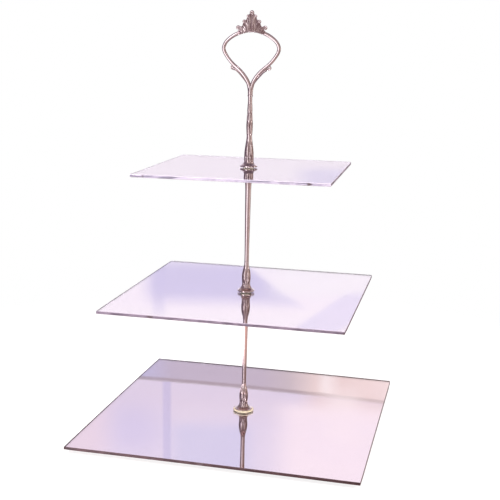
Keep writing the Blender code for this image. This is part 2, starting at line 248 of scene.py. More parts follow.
@dataclass(frozen=True)
class Finish:
    """A finish with a principled surface, fine grain and slow patches."""

    name: str
    color: Color
    roughness: float
    patch_color: Color
    metallic: float = 0.0
    rough_patch: float = 0.05
    grain_size: float = 0.6
    patch_size: float = 18.0
    bump: float = 0.02

    def material(self, effects: Effects) -> bpy.types.Material:
        """Builds the material.

        Args:
            effects: The shared shader groups.

        Returns:
            The material.
        """
        made = bpy.data.materials.new(self.name)
        made.use_nodes = True
        sheet = NodeSheet(made.node_tree)
        surface = made.node_tree.nodes["Principled BSDF"]
        surface.inputs["Metallic"].default_value = self.metallic
        inputs = {"Grain Size": self.grain_size, "Patch Size": self.patch_size}
        speckle = sheet.add("ShaderNodeGroup", node_tree=effects.speckle)
        for label, value in inputs.items():
            speckle.inputs[label].default_value = value
        color = self.base_color(sheet, effects, speckle)
        rough = sheet.calc("MULTIPLY_ADD", speckle.outputs["Patch"], self.rough_patch, self.roughness)
        bump = sheet.add("ShaderNodeBump", {"Strength": self.bump, "Height": speckle.outputs["Height"]})
        bump.inputs["Distance"].default_value = 0.2 * MM
        made.node_tree.links.new(color, surface.inputs["Base Color"])
        made.node_tree.links.new(rough, surface.inputs["Roughness"])
        made.node_tree.links.new(bump.outputs[0], surface.inputs["Normal"])
        self.finish_surface(surface)
        return made

    def base_color(self, sheet: NodeSheet, effects: Effects, speckle: bpy.types.Node) -> Socket:
        """The colour over the surface: the finish's own, with patches of the second colour."""
        return sheet.blend(speckle.outputs["Patch"], self.color, self.patch_color)

    def finish_surface(self, surface: bpy.types.Node) -> None:
        """Sets what only some finishes have; a plain one has nothing more."""


@dataclass(frozen=True)
class CastMetal(Finish):
    """Plated metal with painted shade in its hollows."""

    # Painted shade colour, laid into the hollows by the depth that each mesh carries.
    hollow_shade_color: Color = (0.2, 0.13, 0.15)
    hollow_shade_amount: float = 0.8

    def base_color(self, sheet: NodeSheet, effects: Effects, speckle: bpy.types.Node) -> Socket:
        """The clean metal's colour, patched, then darkened in the hollows with painted shade."""
        clean = sheet.blend(speckle.outputs["Patch"], self.color, self.patch_color)
        recess = sheet.add("ShaderNodeGroup", node_tree=effects.recess)
        recess.inputs["Dark"].default_value = (*self.hollow_shade_color, 1.0)
        recess.inputs["Amount"].default_value = self.hollow_shade_amount
        sheet.tree.links.new(clean, recess.inputs["Clean"])
        sheet.tree.links.new(speckle.outputs["Patch"], recess.inputs["Patch"])
        return recess.outputs["Color"]


@dataclass(frozen=True)
class ClearPlastic(Finish):
    """See-through plastic."""

    ior: float = 1.49
    clear: float = 1.0

    def finish_surface(self, surface: bpy.types.Node) -> None:
        """Lets light through and sets how far it bends."""
        surface.inputs["Transmission Weight"].default_value = self.clear
        surface.inputs["IOR"].default_value = self.ior


@dataclass(frozen=True)
class SawnEdge(Finish):
    """The sawn side of a mirrored sheet: cloudy, with darker streaks along it and a few small chips."""

    streak: Color = (0.35, 0.3, 0.36)
    chip: Color = (0.08, 0.06, 0.07)

    def base_color(self, sheet: NodeSheet, effects: Effects, speckle: bpy.types.Node) -> Socket:
        """The cloudy colour with streaks and chips over it."""
        sawn = sheet.add("ShaderNodeGroup", node_tree=effects.sawn)
        cloudy = sheet.blend(speckle.outputs["Patch"], self.color, self.patch_color)
        sheet.tree.links.new(cloudy, sawn.inputs["Cloudy"])
        sawn.inputs["Streak"].default_value = (*self.streak, 1.0)
        sawn.inputs["Chip"].default_value = (*self.chip, 1.0)
        return sawn.outputs["Color"]


class Slot(Enum):
    """The record's material slots."""

    MIRROR = "mirror_acrylic"
    CASTING = "silver_plated_casting"
    STEEL = "zinc_plated_steel"
    NYLON = "cream_nylon"
    RUBBER = "clear_bumper"


@dataclass
class Finishes:
    """Every material of the stand."""

    effects: Effects = field(default_factory=Effects)

    def __post_init__(self) -> None:
        """Builds the materials."""
        effects = self.effects
        # The dark hollow colour of each metal below is painted shade: in the silver's leaf hollows, grooves and crown
        # web, and in the steel's thread grooves.
        self.silver = CastMetal(
            "silver_plate", (0.84, 0.80, 0.80), 0.06, (0.79, 0.73, 0.72), 1.0, 0.04, 0.5, 9.0, 0.04,
            hollow_shade_color=(0.24, 0.16, 0.18), hollow_shade_amount=0.8,
        ).material(effects)
        self.steel = CastMetal(
            "zinc_plate", (0.62, 0.62, 0.64), 0.28, (0.55, 0.56, 0.60), 1.0, 0.12, 0.3, 4.0, 0.1,
            hollow_shade_color=(0.1, 0.1, 0.11), hollow_shade_amount=0.7,
        ).material(effects)
        self.film = Finish(
            "mirror_film", (0.93, 0.905, 0.94), 0.0, (0.92, 0.895, 0.935), 1.0, 0.012, 7.0, 60.0, 0.006,
        ).material(effects)
        self.paint = Finish(
            "backing_paint", (0.38, 0.265, 0.245), 0.55, (0.44, 0.31, 0.28), 0.0, 0.15, 0.5, 12.0, 0.15,
        ).material(effects)
        self.acrylic = ClearPlastic(
            "clear_acrylic", (1.0, 0.985, 0.995), 0.0, (0.995, 0.98, 1.0), 0.0, 0.0, 9.0, 80.0, 0.004,
        ).material(effects)
        # The edge tones per plate are painted light and shade on one acrylic: pale on the top plate, darker on the
        # middle and near black on the base; the streaks and chips over them are saw marks.
        edges = {
            "top_plate": ((0.30, 0.275, 0.36), (0.42, 0.39, 0.48), (0.15, 0.14, 0.19)),
            "middle_plate": ((0.13, 0.105, 0.145), (0.20, 0.165, 0.215), (0.075, 0.06, 0.085)),
            "base_plate": ((0.045, 0.025, 0.030), (0.070, 0.040, 0.047), (0.024, 0.013, 0.016)),
        }
        # The rim tones per plate are painted sheen and shade: bright on the top plate, near black on the base plate.
        rims = {
            "top_plate": (0.46, 0.43, 0.50), "middle_plate": (0.34, 0.30, 0.36), "base_plate": (0.075, 0.045, 0.052),
        }
        darker = 0.85
        self.rims = {
            node: Finish(
                f"{node}_rim_sheen_and_shade", tone, 0.2, tuple(darker * share for share in tone), 0.0, 0.1, 0.4, 7.0, 0.1,
            ).material(effects)
            for node, tone in rims.items()
        }
        self.edges = {
            node: SawnEdge(
                f"{node}_sawn_edge_light_and_shade", cloudy, 0.32, pale, 0.0, 0.2, 0.5, 9.0, 0.3, streak=streak,
            ).material(effects)
            for node, (cloudy, pale, streak) in edges.items()
        }
        self.nylon = Finish(
            "cream_nylon", (0.97, 0.90, 0.70), 0.38, (0.93, 0.84, 0.62), 0.0, 0.1, 0.4, 5.0, 0.08,
        ).material(effects)
        self.rubber = ClearPlastic(
            "clear_rubber", (0.86, 0.87, 0.88), 0.22, (0.8, 0.81, 0.82), 0.0, 0.1, 0.5, 6.0, 0.08,
            ior=1.47, clear=0.75,
        ).material(effects)


# ---------------------------------------------------------------- mesh building


def make_object(
    name: str,
    points: np.ndarray,
    faces: Sequence[Sequence[int]],
    materials: Sequence[bpy.types.Material],
    smooth: bool = True,
    recess: np.ndarray | None = None,
) -> bpy.types.Object:
    """Makes a mesh object at the origin from points in millimetres.

    Args:
        name: The object's name.
        points: Vertex places, one row each.
        faces: Vertex indices of each face.
        materials: The materials, in slot order.
        smooth: Whether faces are shaded smooth.
        recess: How deep in a hollow each vertex is, 0 to 1.

    Returns:
        The object, linked to the scene.
    """
    mesh = bpy.data.meshes.new(name)
    mesh.from_pydata((np.asarray(points) * MM).tolist(), [], [list(face) for face in faces])
    for material in materials:
        mesh.materials.append(material)
    depths = np.zeros(len(points)) if recess is None else recess
    mesh.attributes.new("recess", "FLOAT", "POINT").data.foreach_set("value", depths.astype(np.float32))
    bm = bmesh.new()
    bm.from_mesh(mesh)
    bmesh.ops.recalc_face_normals(bm, faces=bm.faces)
    bm.to_mesh(mesh)
    bm.free()
    if smooth:
        mesh.shade_smooth()
        mesh.set_sharp_from_angle(angle=radians(SOFT_EDGE))
    made = bpy.data.objects.new(name, mesh)
    bpy.context.scene.collection.objects.link(made)
    return made


def polish(piece: bpy.types.Object, sharp_degrees: float) -> bpy.types.Object:
    """Shades a baked piece smooth except at its sharp edges."""
    piece.data.shade_smooth()
    piece.data.set_sharp_from_angle(angle=radians(sharp_degrees))
    return piece


def curve_through(knots: Sequence[Sequence[float]], spacing: float) -> np.ndarray:
    """A Catmull-Rom curve through knots, sampled at about equal spacing.

    Args:
        knots: Points of any number of dimensions.
        spacing: Distance between samples, measured in the first three dimensions.

    Returns:
        The samples, first and last knots included.
    """
    given = np.asarray(knots, float)
    if len(given) == 2:
        count = max(2, int(np.linalg.norm((given[1] - given[0])[:3]) / spacing) + 1)
        share = np.linspace(0, 1, count)[:, None]
        return given[0] * (1 - share) + given[1] * share
    padded = np.vstack([2 * given[0] - given[1], given, 2 * given[-1] - given[-2]])
    pieces = []
    for a, b, c, d in zip(padded, padded[1:], padded[2:], padded[3:]):
        count = max(2, int(np.ceil(np.linalg.norm((c - b)[:3]) / spacing)) + 1)
        t = np.linspace(0, 1, count)[:-1, None]
        pieces.append(
            0.5 * (2 * b + (c - a) * t + (2 * a - 5 * b + 4 * c - d) * t**2 + (3 * b - a - 3 * c + d) * t**3)
        )
    return np.vstack([*pieces, given[-1:]])


def outline_of(runs: Sequence[Outline], spacing: float) -> np.ndarray:
    """Joins smooth runs of (radius, height) knots into one outline with a corner between runs."""
    parts = [curve_through([(r, z, 0.0) for r, z in run], spacing)[:, :2] for run in runs]
    joined = np.vstack(parts)
    keep = np.r_[True, np.linalg.norm(np.diff(joined, axis=0), axis=1) > 1e-5]
    return joined[keep]


def straight(*corners: tuple[float, float]) -> list[Outline]:
    """Straight runs from corner to corner."""
    return [list(pair) for pair in zip(corners, corners[1:])]


def turn(outline: np.ndarray, sides: int, z: float) -> tuple[np.ndarray, Faces]:
    """Turns an outline about the column's axis.

    Args:
        outline: (radius, height) rows from bottom to top; an end on the axis becomes a pole,
            and an outline that returns to its start makes a ring.
        sides: Facets round the axis.
        z: Height added to the whole.

    Returns:
        Points in millimetres and faces.
    """
    angles = np.arange(sides) / sides * tau
    ring = bool(np.linalg.norm(outline[0] - outline[-1]) < 1e-6)
    rows = outline[:-1] if ring else outline
    points: list[tuple[float, float, float]] = []
    starts: list[tuple[int, bool]] = []
    for radius, height in rows:
        pole = radius < 1e-6
        starts.append((len(points), pole))
        if pole:
            points.append((0.0, 0.0, height + z))
        else:
            points.extend((radius * cos(a), radius * sin(a), height + z) for a in angles)
    faces: Faces = []
    pairs = list(zip(starts, starts[1:])) + ([(starts[-1], starts[0])] if ring else [])
    for (low, low_pole), (high, high_pole) in pairs:
        for side in range(sides):
            after = (side + 1) % sides
            if low_pole:
                faces.append((low, high + after, high + side))
            elif high_pole:
                faces.append((low + side, low + after, high))
            else:
                faces.append((low + side, low + after, high + after, high + side))
    return np.array(points), faces


@dataclass
class Sweep:
    """A tapered rod along a path in the loop's plane, with its own section."""

    path: np.ndarray
    width: np.ndarray
    depth: np.ndarray
    groove: np.ndarray
    sides: int = 20

    def build(self) -> Part:
        """Sweeps the section.

        Returns:
            Points, faces with both ends closed, and the depth in a hollow of each point.
        """
        ahead = np.gradient(self.path, axis=0)
        ahead /= np.linalg.norm(ahead, axis=1)[:, None] + 1e-12
        across = np.stack([ahead[:, 1], -ahead[:, 0]], axis=1)
        turned = (np.arange(self.sides) + 0.5) / self.sides * tau
        cut = np.exp(-((np.abs(np.sin(turned)) - 1.0) / 0.12) ** 2)
        points, hollow = [], []
        for (x, z), side, wide, deep, groove in zip(self.path, across, self.width, self.depth, self.groove):
            reach = wide * np.cos(turned)
            out = deep * np.sin(turned) * (1 - groove * cut)
            points.append(np.stack([x + side[0] * reach, out, z + side[1] * reach], axis=1))
            hollow.append(np.minimum(1.0, groove * 2.5) * cut)
        count = len(self.path)
        faces: Faces = []
        for row in range(count - 1):
            low, high = row * self.sides, (row + 1) * self.sides
            for s in range(self.sides):
                after = (s + 1) % self.sides
                faces.append((low + s, low + after, high + after, high + s))
        faces.append(tuple(range(self.sides))[::-1])
        faces.append(tuple(range((count - 1) * self.sides, count * self.sides)))
        return np.vstack(points), faces, np.concatenate(hollow)


def merge_parts(parts: Sequence[Part]) -> Part:
    """Puts several point and face lists into one."""
    points, faces, hollow, shift = [], [], [], 0
    for some_points, some_faces, some_hollow in parts:
        points.append(some_points)
        hollow.append(some_hollow)
        faces.extend(tuple(index + shift for index in face) for face in some_faces)
        shift += len(some_points)
    return np.vstack(points), faces, np.concatenate(hollow)


def mirrored(part: Part) -> Part:
    """The same part on the other side of the column, with its faces turned to match."""
    points, faces, hollow = part
    return points * (-1.0, 1.0, 1.0), [tuple(reversed(face)) for face in faces], hollow


def lifted(part: Part, z: float) -> Part:
    """The same part higher up."""
    return part[0] + (0.0, 0.0, z), part[1], part[2]


# ---------------------------------------------------------------- geometry nodes


def push_out(sheet: NodeSheet, geometry: Socket, spot: Any, distance: Socket, hollow: Socket) -> Socket:
    """Moves a turned piece's surface away from its axis and stores how deep each spot lies.

    Args:
        sheet: The tree's node sheet.
        geometry: The piece.
        spot: The three sockets of a vertex's place.
        distance: How far it moves.
        hollow: Its depth in a hollow, 0 to 1.

    Returns:
        The moved geometry's socket.
    """
    stored = sheet.add(
        "GeometryNodeStoreNamedAttribute",
        {"Geometry": geometry, "Name": "recess", "Value": hollow},
        data_type="FLOAT", domain="POINT",
    )
    radial = sheet.add("ShaderNodeCombineXYZ", {0: spot[0], 1: spot[1]}).outputs[0]
    outward = sheet.add("ShaderNodeVectorMath", {0: radial}, operation="NORMALIZE").outputs[0]
    offset = sheet.add("ShaderNodeVectorMath", {0: outward, "Scale": distance}, operation="SCALE").outputs[0]
    return sheet.add("GeometryNodeSetPosition", {"Geometry": stored.outputs[0], "Offset": offset}).outputs[0]


def close_tree(sheet: NodeSheet, geometry: Socket, metal: Socket) -> None:
    """Ends a geometry tree with real geometry and its material."""
    real = sheet.add("GeometryNodeRealizeInstances", {"Geometry": geometry})
    shaded = sheet.add("GeometryNodeSetMaterial", {"Geometry": real.outputs[0], "Material": metal})
    sheet.add("NodeGroupOutput", {0: shaded.outputs[0]})


def leaf_relief_tree() -> bpy.types.NodeTree:
    """Raises a row of pointed leaves round a turned piece and stores how deep each spot lies."""
    tree = new_group(
        "leaf_relief",
        "GeometryNodeTree",
        {
            "Geometry": ("NodeSocketGeometry", None),
            "Leaves": ("NodeSocketFloat", 6.0),
            "Turn": ("NodeSocketFloat", 0.0),
            "Foot": ("NodeSocketFloat", 0.0),
            "Height": ("NodeSocketFloat", 0.02),
            "Relief": ("NodeSocketFloat", 0.0003),
            "Point": ("NodeSocketFloat", 2.0),
            "Bore": ("NodeSocketFloat", 0.0024),
            "Metal": ("NodeSocketMaterial", None),
        },
        {"Geometry": "NodeSocketGeometry"},
    )
    sheet = NodeSheet(tree)
    given = sheet.add("NodeGroupInput").outputs
    spot = sheet.add("ShaderNodeSeparateXYZ", {0: sheet.add("GeometryNodeInputPosition").outputs[0]}).outputs
    angle = sheet.calc("ARCTAN2", spot[1], spot[0])
    turned = sheet.calc("DIVIDE", sheet.calc("SUBTRACT", angle, given["Turn"]), tau)
    share = sheet.calc("ADD", sheet.calc("MULTIPLY", turned, given["Leaves"]), 0.5)
    local = sheet.calc("ABSOLUTE", sheet.calc("SUBTRACT", sheet.calc("FRACT", share), 0.5))
    up = sheet.calc("DIVIDE", sheet.calc("SUBTRACT", spot[2], given["Foot"]), given["Height"], clamp=True)
    width = sheet.product(sheet.rest(sheet.calc("POWER", up, given["Point"])), 0.5)
    near = sheet.calc("DIVIDE", local, sheet.calc("MAXIMUM", width, 0.001))
    inside = sheet.rest(sheet.step(near, 0.72, 1.0))
    crown = sheet.calc("SUBTRACT", 1.0, sheet.product(near, near), clamp=True)
    body = sheet.product(inside, sheet.calc("MULTIPLY_ADD", crown, 0.5, 0.5))
    rib = sheet.product(sheet.rest(sheet.step(local, 0.0, 0.055)), inside)
    raised = sheet.calc("SUBTRACT", sheet.calc("SUBTRACT", body, sheet.product(rib, 0.35)), 0.5)
    squares = [sheet.calc("POWER", part, 2.0) for part in (spot[0], spot[1])]
    outer = sheet.calc("GREATER_THAN", sheet.calc("SQRT", sheet.calc("ADD", *squares)), given["Bore"])
    window = sheet.product(sheet.step(up, 0.0, 0.06), sheet.rest(sheet.step(up, 0.5, 0.98)), outer)
    hollow = sheet.product(sheet.calc("MAXIMUM", sheet.rest(inside), sheet.product(rib, 0.7)), window)
    before = sheet.add("GeometryNodeInputNamedAttribute", {"Name": "recess"}, data_type="FLOAT").outputs[0]
    deepest = sheet.calc("MAXIMUM", hollow, before, clamp=True)
    distance = sheet.product(raised, given["Relief"], window)
    close_tree(sheet, push_out(sheet, given["Geometry"], spot, distance, deepest), given["Metal"])
    return tree


def screw_thread_tree() -> bpy.types.NodeTree:
    """Cuts a screw thread into a turned shank between two heights."""
    tree = new_group(
        "screw_thread",
        "GeometryNodeTree",
        {
            "Geometry": ("NodeSocketGeometry", None),
            "Pitch": ("NodeSocketFloat", 0.0007),
            "Depth": ("NodeSocketFloat", 0.0004),
            "Low": ("NodeSocketFloat", 0.0),
            "High": ("NodeSocketFloat", 0.01),
            "Metal": ("NodeSocketMaterial", None),
        },
        {"Geometry": "NodeSocketGeometry"},
    )
    sheet = NodeSheet(tree)
    given = sheet.add("NodeGroupInput").outputs
    spot = sheet.add("ShaderNodeSeparateXYZ", {0: sheet.add("GeometryNodeInputPosition").outputs[0]}).outputs
    around = sheet.calc("DIVIDE", sheet.calc("ARCTAN2", spot[1], spot[0]), tau)
    along = sheet.calc("DIVIDE", spot[2], given["Pitch"])
    phase = sheet.calc("FRACT", sheet.calc("SUBTRACT", along, around))
    wave = sheet.calc("ABSOLUTE", sheet.calc("MULTIPLY_ADD", phase, 2.0, -1.0))
    rise = sheet.step(spot[2], given["Low"], sheet.calc("ADD", given["Low"], given["Pitch"]))
    fall = sheet.step(spot[2], sheet.calc("SUBTRACT", given["High"], given["Pitch"]), given["High"])
    window = sheet.product(rise, sheet.rest(fall))
    distance = sheet.product(wave, given["Depth"], window, -1.0)
    hollow = sheet.product(wave, window)
    close_tree(sheet, push_out(sheet, given["Geometry"], spot, distance, hollow), given["Metal"])
    return tree


def bead_row_tree() -> bpy.types.NodeTree:
    """Strings beads along a line of points, a little larger towards its middle."""
    tree = new_group(
        "bead_row",
        "GeometryNodeTree",
        {
            "Geometry": ("NodeSocketGeometry", None),
            "Count": ("NodeSocketInt", 12),
            "Bead Radius": ("NodeSocketFloat", 0.0005),
            "Size Change": ("NodeSocketFloat", 0.0),
            "Metal": ("NodeSocketMaterial", None),
        },
        {"Geometry": "NodeSocketGeometry"},
    )
    sheet = NodeSheet(tree)
    given = sheet.add("NodeGroupInput").outputs
    line = sheet.add("GeometryNodeMeshToCurve", {0: given["Geometry"]})
    spread = sheet.add("GeometryNodeResampleCurve", {"Curve": line.outputs[0], "Count": given["Count"]})
    bead = sheet.add("GeometryNodeMeshUVSphere", {"Segments": 14, "Rings": 9, "Radius": given["Bead Radius"]})
    smooth = sheet.add("GeometryNodeSetShadeSmooth", {"Geometry": bead.outputs["Mesh"]})
    along = sheet.add("GeometryNodeSplineParameter").outputs["Factor"]
    swing = sheet.calc("SINE", sheet.product(along, pi))
    size = sheet.calc("MULTIPLY_ADD", swing, given["Size Change"], 1.0)
    placed = sheet.add(
        "GeometryNodeInstanceOnPoints",
        {"Points": spread.outputs[0], "Instance": smooth.outputs[0], "Scale": size},
    )
    close_tree(sheet, placed.outputs[0], given["Metal"])
    return tree


class Trees:
    """The geometry node trees, each built once, and how they are put on a piece."""

    def __init__(self) -> None:
        """Builds the three trees."""
        self.leaves = leaf_relief_tree()
        self.thread = screw_thread_tree()
        self.beads = bead_row_tree()

    @staticmethod
    def bake(piece: bpy.types.Object, steps: Sequence[tuple[bpy.types.NodeTree, dict[str, Any]]]) -> bpy.types.Object:
        """Runs trees on a piece and keeps the result as its plain mesh.

        Args:
            piece: The object to work on.
            steps: Each tree with its input values by name.

        Returns:
            The same object with the new mesh.
        """
        for tree, values in steps:
            modifier = piece.modifiers.new(tree.name, "NODES")
            modifier.node_group = tree
            inputs = (item for item in tree.interface.items_tree if item.in_out == "INPUT")
            sockets = {item.name: item.identifier for item in inputs}
            for label, value in values.items():
                modifier[sockets[label]] = value
        graph = bpy.context.evaluated_depsgraph_get()
        baked = bpy.data.meshes.new_from_object(piece.evaluated_get(graph), depsgraph=graph)
        old = piece.data
        piece.modifiers.clear()
        piece.data = baked
        bpy.data.meshes.remove(old)
        baked.name = piece.name
        return piece


@dataclass
class Workshop:
    """What every sub-assembly needs: the materials and the trees."""

    finishes: Finishes
    trees: Trees

    def fit(self, piece: bpy.types.Object, body: str, slot: Slot, *nodes: str) -> bpy.types.Object:
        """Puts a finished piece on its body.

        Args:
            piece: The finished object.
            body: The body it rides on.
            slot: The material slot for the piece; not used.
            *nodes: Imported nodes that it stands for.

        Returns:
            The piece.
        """
        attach(piece, body)
        if nodes:
            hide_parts(*nodes)
        log.info("%s on %s: %d faces", piece.name, body, len(piece.data.polygons))
        return piece


# ---------------------------------------------------------------- the plates


@dataclass
class MirrorPlate:
    """A clear square sheet with a mirror film and paint on its back."""

    shop: Workshop
    node: str
    body: str
    turned: float = 0.0
    bow: float = 0.0
    steps: int = 22
    hole_radius: float = 2.6
    edge_bevel: float = 0.3
    film_thickness: float = 0.16
    film_proud: float = 0.02
    corner_radius: float = 0.8
    round_points: int = 96
    edge_share: float = 0.98

    def square_ring(self, half: float, z: float, corner: float) -> np.ndarray:
        """A closed ring of points round a square with slightly rounded corners.

        Args:
            half: Half the square's side.
            z: The ring's height.
            corner: The corners' radius.

        Returns:
            The points, counter-clockwise from the first corner's middle.
        """
        angles = radians(45) + np.arange(self.round_points) / self.round_points * tau
        ways = np.stack([np.cos(angles), np.sin(angles)], axis=1)
        flat = ways / np.abs(ways).max(axis=1)[:, None] * half
        inner = half - corner
        core = np.clip(flat, -inner, inner)
        past = flat - core
        reach = np.linalg.norm(past, axis=1)
        both = (np.abs(past) > 1e-9).all(axis=1)
        flat[both] = core[both] + past[both] / reach[both][:, None] * corner
        tilt = radians(self.turned)
        flat = flat @ np.array([(cos(tilt), sin(tilt)), (-sin(tilt), cos(tilt))])
        return np.column_stack([flat, np.full(len(flat), z)])

    def hole_ring(self, radius: float, z: float) -> np.ndarray:
        """The matching ring of points round the hole."""
        angles = radians(45) + np.arange(self.round_points) / self.round_points * tau
        return np.column_stack([radius * np.cos(angles), radius * np.sin(angles), np.full(len(angles), z)])

    def face(self, first: np.ndarray, last: np.ndarray) -> list[np.ndarray]:
        """The rings of a broad face, from its first to its last."""
        return [first + (last - first) * share for share in np.linspace(0, 1, self.steps + 1)]

    def ring_solid(self, rings: Sequence[np.ndarray]) -> tuple[np.ndarray, Faces]:
        """Joins rings one after another and the last to the first, bowed down towards the outside.

        Args:
            rings: Rings of points in order round the section.

        Returns:
            Points and faces.
        """
        count = self.round_points
        faces: Faces = []
        for index in range(len(rings)):
            low, high = index * count, (index + 1) % len(rings) * count
            for side in range(count):
                after = (side + 1) % count
                faces.append((low + side, low + after, high + after, high + side))
        points = np.vstack(rings)
        points[:, 2] -= self.bow * MM * (points[:, 0] ** 2 + points[:, 1] ** 2)
        return points, faces

    def build(self) -> None:
        """Builds the clear sheet and the film behind it."""
        low, high = (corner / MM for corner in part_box(self.node))
        half = high.x / (cos(radians(self.turned)) + sin(radians(self.turned)))
        self.build_sheet(half, low.z + 0.5 * self.film_thickness, high.z)
        self.build_film(half + self.film_proud, low.z, low.z + self.film_thickness)

    def build_sheet(self, half: float, low: float, top: float) -> None:
        """Builds the clear sheet, with its sawn edge and its rim bevel, both in the plate's painted light and shade
        tones.

        Args:
            half: Half the sheet's side.
            low: The height of its back, inside the film.
            top: The height of its face.
        """
        bevel, corner, hole = self.edge_bevel, self.corner_radius, self.hole_radius
        rings = [
            self.hole_ring(hole, top - bevel / 2),
            *self.face(self.hole_ring(hole + bevel / 2, top), self.square_ring(half - bevel, top, corner - bevel / 2)),
            self.square_ring(half, top - bevel, corner),
            *self.face(self.square_ring(half, low, corner), self.hole_ring(hole, low)),
        ]
        finishes = self.shop.finishes
        slots = [finishes.acrylic, finishes.edges[self.node], finishes.rims[self.node]]
        sheet = make_object(f"{self.node}_clear_sheet", *self.ring_solid(rings), slots)
        for face in sheet.data.polygons:
            if face.center.xy.length > self.edge_share * half * MM and abs(face.normal.z) < 0.95:
                face.material_index = 2 if face.normal.z > 0.3 else 1
        self.shop.fit(sheet, self.body, Slot.MIRROR, self.node)

    def build_film(self, half: float, low: float, top: float) -> None:
        """Builds the mirror film, with the paint behind it.

        Args:
            half: Half the film's side.
            low: The height of the paint's underside.
            top: The height of the mirror.
        """
        bevel, corner, hole = self.edge_bevel / 2, self.corner_radius, self.hole_radius - self.film_proud
        rings = [
            *self.face(self.hole_ring(hole, top), self.square_ring(half, top, corner)),
            self.square_ring(half, low + bevel, corner),
            *self.face(self.square_ring(half - bevel, low, corner), self.hole_ring(hole, low)),
        ]
        finishes = self.shop.finishes
        film = make_object(f"{self.node}_mirror_film", *self.ring_solid(rings), [finishes.paint, finishes.film])
        for face in film.data.polygons:
            face.material_index = 1 if face.normal.z > 0.9 else 0
        self.shop.fit(film, self.body, Slot.MIRROR, self.node)


# ---------------------------------------------------------------- feet, washers, fasteners


@dataclass
class BumperFoot:
    """A clear rubber bumper stuck under a corner of the base plate, pressed down by the bowed sheet."""

    shop: Workshop
    node: str
    trim: float = 0.75

    def build(self) -> None:
        """Turns the bumper with its dished underside."""
        low, high = (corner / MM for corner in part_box(self.node))
        tall, wide = high.z - low.z - self.trim, (high.x - low.x) / 2
        runs = [
            [(0.0, 0.7), (1.2, 0.6), (2.1, 0.25), (2.7, 0.0)],
            [(2.7, 0.0), (3.6, 0.0)],
            [(3.6, 0.0), (4.5, 0.25), (5.1, 0.9), (5.5, 2.2), (6.0, 4.3), (wide - 0.1, tall - 0.5)],
            [(wide - 0.1, tall - 0.5), (wide, tall - 0.25), (wide - 0.1, tall)],
            [(wide - 0.1, tall), (0.0, tall)],
        ]
        points, faces = turn(outline_of(runs, 0.35), 72, low.z)
        points = points + ((low.x + high.x) / 2, (low.y + high.y) / 2, 0.0)
        foot = make_object(f"{self.node}_bumper", points, faces, [self.shop.finishes.rubber])
        self.shop.fit(foot, "base", Slot.RUBBER, self.node)


@dataclass
class Washer:
    """A flat ring with rounded rims and, on a moulded one, a shallow groove round its face."""

    shop: Workshop
    node: str
    body: str
    slot: Slot
    inner_radius: float
    rim: float = 0.25
    groove: float = 0.12

    def build(self) -> None:
        """Turns the ring."""
        low, high = (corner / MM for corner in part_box(self.node))
        wide, tall, rim, hole = high.x, high.z - low.z, self.rim, self.inner_radius
        middle = (wide + hole) / 2
        top = [
            (wide - rim, tall), (wide - 1.5 * rim, tall - 0.02), (middle + 1.0, tall - self.groove),
            (middle - 0.6, tall - self.groove), (hole + 1.5 * rim, tall - 0.02), (hole + rim, tall),
        ]
        runs = [
            [(hole, tall / 2), (hole, rim)],
            [(hole, rim), (hole + 0.3 * rim, 0.3 * rim), (hole + rim, 0.0)],
            [(hole + rim, 0.0), (wide - rim, 0.0)],
            [(wide - rim, 0.0), (wide - 0.3 * rim, 0.3 * rim), (wide, rim)],
            [(wide, rim), (wide, tall - rim)],
            [(wide, tall - rim), (wide - 0.3 * rim, tall - 0.3 * rim), (wide - rim, tall)],
            top,
            [(hole + rim, tall), (hole + 0.3 * rim, tall - 0.3 * rim), (hole, tall - rim)],
            [(hole, tall - rim), (hole, tall / 2)],
        ]
        points, faces = turn(outline_of(runs, 0.25), 96, low.z)
        finishes = self.shop.finishes
        metal = finishes.steel if self.slot is Slot.STEEL else finishes.nylon
        ring = make_object(f"{self.node}_ring", points, faces, [metal])
        self.shop.fit(ring, self.body, self.slot, self.node)


@dataclass
class ThreadedStud:
    """A rod threaded from end to end."""

    shop: Workshop
    node: str
    end_bevel: float = 0.4
    ring_spacing: float = 0.07

    def build(self) -> None:
        """Turns the rod and cuts its thread."""
        low, high = (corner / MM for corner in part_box(self.node))
        wide, tall, bevel = high.x, high.z - low.z, self.end_bevel
        runs = straight(
            (0.0, 0.0), (wide - bevel, 0.0), (wide, bevel), (wide, tall - bevel), (wide - bevel, tall), (0.0, tall),
        )
        points, faces = turn(outline_of(runs, self.ring_spacing), 32, low.z)
        rod = make_object(f"{self.node}_threaded_rod", points, faces, [self.shop.finishes.steel])
        values = {
            "Pitch": THREAD_PITCH * MM, "Depth": THREAD_DEPTH * MM,
            "Low": low.z * MM, "High": high.z * MM, "Metal": self.shop.finishes.steel,
        }
        polish(self.shop.trees.bake(rod, [(self.shop.trees.thread, values)]), 60)
        self.shop.fit(rod, "column", Slot.STEEL, self.node)


